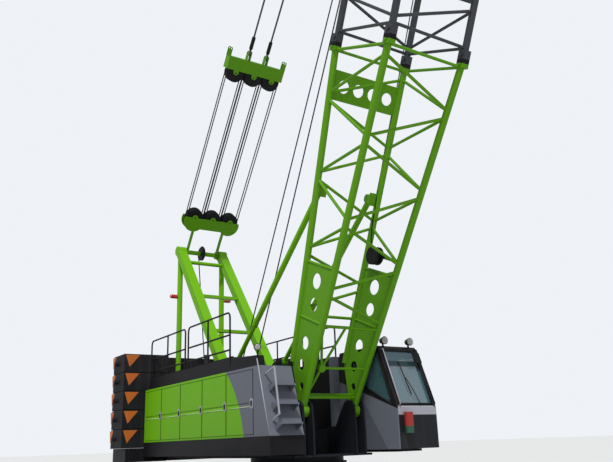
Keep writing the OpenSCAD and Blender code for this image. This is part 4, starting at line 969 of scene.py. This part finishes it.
@dataclass
class Cab:
    """Seals, wiper, grab bars, mirror, sun band, lamp lenses and the driver's seat.

    ``sill`` and ``brow`` are the windscreen's lower and upper (x, z), and a place on it is given
    by its share of the height between them.
    """

    yard: Yard
    inner: float = 0.735
    outer: float = 1.690
    sill: Pair = (2.380, 2.240)
    brow: Pair = (1.925, 3.390)
    side_window: tuple[Pair, ...] = (
        (1.04, 2.70), (1.39, 2.70), (2.25, 2.30), (1.88, 3.30), (1.04, 3.30))
    bar_in: float = 0.055
    bar_out: float = 0.06

    def screen(self, share: float, y: float, out: float) -> Array:
        """A place on the windscreen: share of its height, y across and out from its face."""
        low, high = np.array(self.sill), np.array(self.brow)
        run = high - low
        face = low + share * run
        normal = unit(np.array([run[1], -run[0]]))
        x, z = face + out * normal
        return self.yard.at(x, y, z)

    def strip(self, low: float, high: float, y: float, out: float, outline: Array) -> Shell:
        """A flat strip up the windscreen between two shares of its height."""
        path = [self.screen(share, y, out) for share in (low, high)]
        return sweep(outline, path, round_form=False)

    def build(self) -> None:
        """Makes the cab's pieces."""
        self.seals()
        self.wiper()
        self.grab_bars()
        self.mirror()
        self.sun_band()
        self.lamp_lenses()
        self.seat()

    def seals(self) -> None:
        """Black rubber round the windscreen and the side window."""
        y0, y1, low, high = self.inner + 0.075, self.outer - 0.075, 0.05, 0.955
        front = [self.screen(share, y, 0.004)
                 for share, y in ((low, y0), (low, y1), (high, y1), (high, y0))]
        side = [self.yard.at(x, self.inner - 0.002, z) for x, z in self.side_window]
        shells = [tube([front[k - 1], front[k]], 0.016, lean=Axis.X if k % 2 else Axis.Y)
                  for k in (1, 2, 3, 0)]
        shells += [tube([side[k - 1], side[k]], 0.014) for k in (1, 2, 3, 4, 0)]
        self.yard.fit("cab_seals", shells, RUBBER)

    def wiper(self) -> None:
        """A wiper on the windscreen with its arm."""
        arm = [self.screen(*place)
               for place in ((0.03, 1.30, 0.03), (0.25, 1.22, 0.05), (0.48, 1.14, 0.035))]
        blade = [self.screen(*place) for place in ((0.20, 1.165, 0.022), (0.76, 1.10, 0.022))]
        self.yard.fit("cab_wiper", [tube(arm, 0.008), tube(blade, 0.010, 6)], RUBBER)

    def grab_bars(self) -> None:
        """Grab bars along both sides of the windscreen."""
        shape = ((0.97, 0.0), (0.96, self.bar_out), (0.03, self.bar_out), (0.02, 0.0))
        for side, y, finish in (("inner", self.inner + self.bar_in, LIGHT_PAINT),
                                ("outer", self.outer - self.bar_in, BLACK_PAINT)):
            run = [self.screen(share, y, out) for share, out in shape]
            self.yard.fit(f"cab_{side}_grab_bar", [tube(run, 0.012)], finish, "trim")

    def mirror(self) -> None:
        """A mirror at the windscreen's outer top corner."""
        y, bar_y = self.outer - 0.16, self.outer - self.bar_in
        ends = [self.screen(0.90, bar_y, self.bar_out), self.screen(0.86, y + 0.04, 0.10)]
        back = self.strip(0.70, 0.88, y, 0.11, oblong(0.022, 0.16))
        glass = self.strip(0.71, 0.87, y, 0.097, oblong(0.003, 0.145))
        self.yard.fit("cab_mirror_back", [back, tube(ends, 0.008)], BLACK_PAINT)
        self.yard.fit("cab_mirror_glass", [glass], MIRROR_FACE)

    def sun_band(self) -> None:
        """A dark band across the upper part of the windscreen, on its outer face."""
        band = self.strip(0.69, 0.77, (self.inner + self.outer) / 2, 0.004, oblong(0.004, 0.72))
        self.yard.fit("cab_sun_band", [band], SUN_BAND, "trim")

    def lamp_lenses(self) -> None:
        """Clear lenses on the roof lamps."""
        profile = [[0.076, 0.0], [0.070, 0.010], [0.05, 0.018], [0.02, 0.022]]
        lenses = [turned(profile, self.yard.at(1.9095, y, 3.54), Axis.X.value)
                  for y in (self.inner + 0.19, self.outer - 0.12)]
        self.yard.fit("cab_lamp_lenses", lenses, CLEAR_LENS, "window")

    def seat(self) -> None:
        """A padded seat over the seat's block."""
        mid, half = (self.inner + self.outer) / 2, 0.265
        low, high = self.yard.at(0.87, mid - half, 1.86), self.yard.at(1.43, mid + half, 2.03)
        pad = self.yard.fit("seat_pad", [cushion(low, high, 5.0)], SEAT_CLOTH, "trim")


# Boom

@dataclass
class BoomFittings:
    """The cable from the reel on the boom's base to the head.

    A place on it is (u, w, v), as in ``Yard.on_boom``. Over the top section, which starts at
    ``top_start``, the cable comes inwards with the section's taper.
    """

    yard: Yard
    top_start: float = 24.95
    taper: Pair = (0.072, 0.09)

    def build(self) -> None:
        """Makes the cable."""
        (dw, dv), start = self.taper, self.top_start
        run = [(3.06, 0.62, 0.455), (3.6, 0.66, 0.66), (5.2, 0.73, 0.82), (6.95, 0.78, 0.90)]
        run += [(u, 0.78, 0.925) for u in np.linspace(8.0, 24.5, 12)]
        run += [(u, 0.76 - (u - start) * dw, 0.92 - (u - start) * dv)
                for u in np.linspace(25.2, 30.4, 6)]
        cable = tube([self.yard.on_boom(*place) for place in run], 0.011)
        self.yard.fit("boom_cable", [cable], RUBBER, body="boom")


# Light, floor and camera

@dataclass(frozen=True)
class Studio:
    """A pale floor, soft light and the camera at the photograph's viewing angle."""

    yard: Yard
    eye: Triple = (12.756, -7.786, 1.651)
    yaw: float = math.radians(32.73)
    pitch: float = math.radians(16.84)
    roll: float = math.radians(-1.97)
    focal_px: float = 701.08
    image_px: float = 613.0
    sensor_mm: float = 36.0
    view_end: float = 500.0
    floor_reach: float = 400.0
    floor_colour: Triple = (0.62, 0.62, 0.61)
    to_sun: Triple = (0.58, -0.45, 1.00)
    sun_strength: float = 3.0
    sun_spread: float = math.radians(8)
    sky_colour: Triple = (0.86, 0.89, 0.93)
    sky_light: float = 0.62
    sky_seen: float = 1.0

    def camera(self) -> None:
        """Places the camera, so that its right, up and back directions are the matrix's columns."""
        level, rise = math.cos(self.pitch), math.sin(self.pitch)
        ahead = np.array([-math.cos(self.yaw) * level, math.sin(self.yaw) * level, rise])
        right = unit(np.cross(ahead, [0, 0, 1]))
        up = np.cross(right, ahead)
        c, s = math.cos(self.roll), math.sin(self.roll)
        eye = self.yard.at(*self.eye)
        columns = np.stack([c * right + s * up, -s * right + c * up, -ahead, eye], axis=1)
        data = bpy.data.cameras.new("camera")
        data.sensor_width = self.sensor_mm
        data.lens = self.focal_px / self.image_px * self.sensor_mm
        data.clip_end = self.view_end
        camera = placed("camera", data)
        camera.matrix_world = Matrix(np.vstack([columns, [0, 0, 0, 1]]).tolist())
        bpy.context.scene.camera = camera

    def floor(self) -> None:
        """A pale floor under the tracks."""
        mesh = bpy.data.meshes.new("floor")
        r = self.floor_reach
        mesh.from_pydata([(-r, -r, 0), (r, -r, 0), (r, r, 0), (-r, r, 0)], [], [(0, 1, 2, 3)])
        material, shader = blank("pale floor")
        shader.inputs["Base Color"].default_value = (*self.floor_colour, 1.0)
        shader.inputs["Roughness"].default_value = 0.9
        mesh.materials.append(material)
        floor = placed("floor", mesh)

    def lamps(self) -> None:
        """A soft sun from the front right and an even sky, which is brighter to the camera."""
        sun = bpy.data.lights.new("soft sun", "SUN")
        sun.energy = self.sun_strength
        sun.angle = self.sun_spread
        lamp = placed("soft sun", sun)
        lamp.rotation_euler = Vector(self.to_sun).to_track_quat("Z", "Y").to_euler()
        world = bpy.data.worlds.new("sky")
        bpy.context.scene.world = world
        world.use_nodes = True
        graph = Graph(world.node_tree)
        seen = graph.add("ShaderNodeLightPath").outputs["Is Camera Ray"]
        share = {"A": self.sky_light, "B": self.sky_seen, "Factor": seen}
        strength = graph.add("ShaderNodeMix", share, data_type="FLOAT").outputs["Result"]
        back = world.node_tree.nodes["Background"]
        graph.feed(back.inputs["Strength"], strength)
        graph.feed(back.inputs["Color"], (*self.sky_colour, 1.0))

    def build(self) -> None:
        """Makes the studio."""
        self.camera()
        self.floor()
        self.lamps()
        bpy.context.scene.view_settings.view_transform = "Standard"


def main() -> None:
    """Builds the looks in order."""
    logging.basicConfig(level=logging.INFO, format="%(name)s: %(message)s")
    yard = Yard()
    Studio(yard).build()
    Paintwork(yard).apply()
    Rigging(yard).build()
    House(yard).build()
    Cab(yard).build()
    BoomFittings(yard).build()


if __name__ == "__main__":
    main()
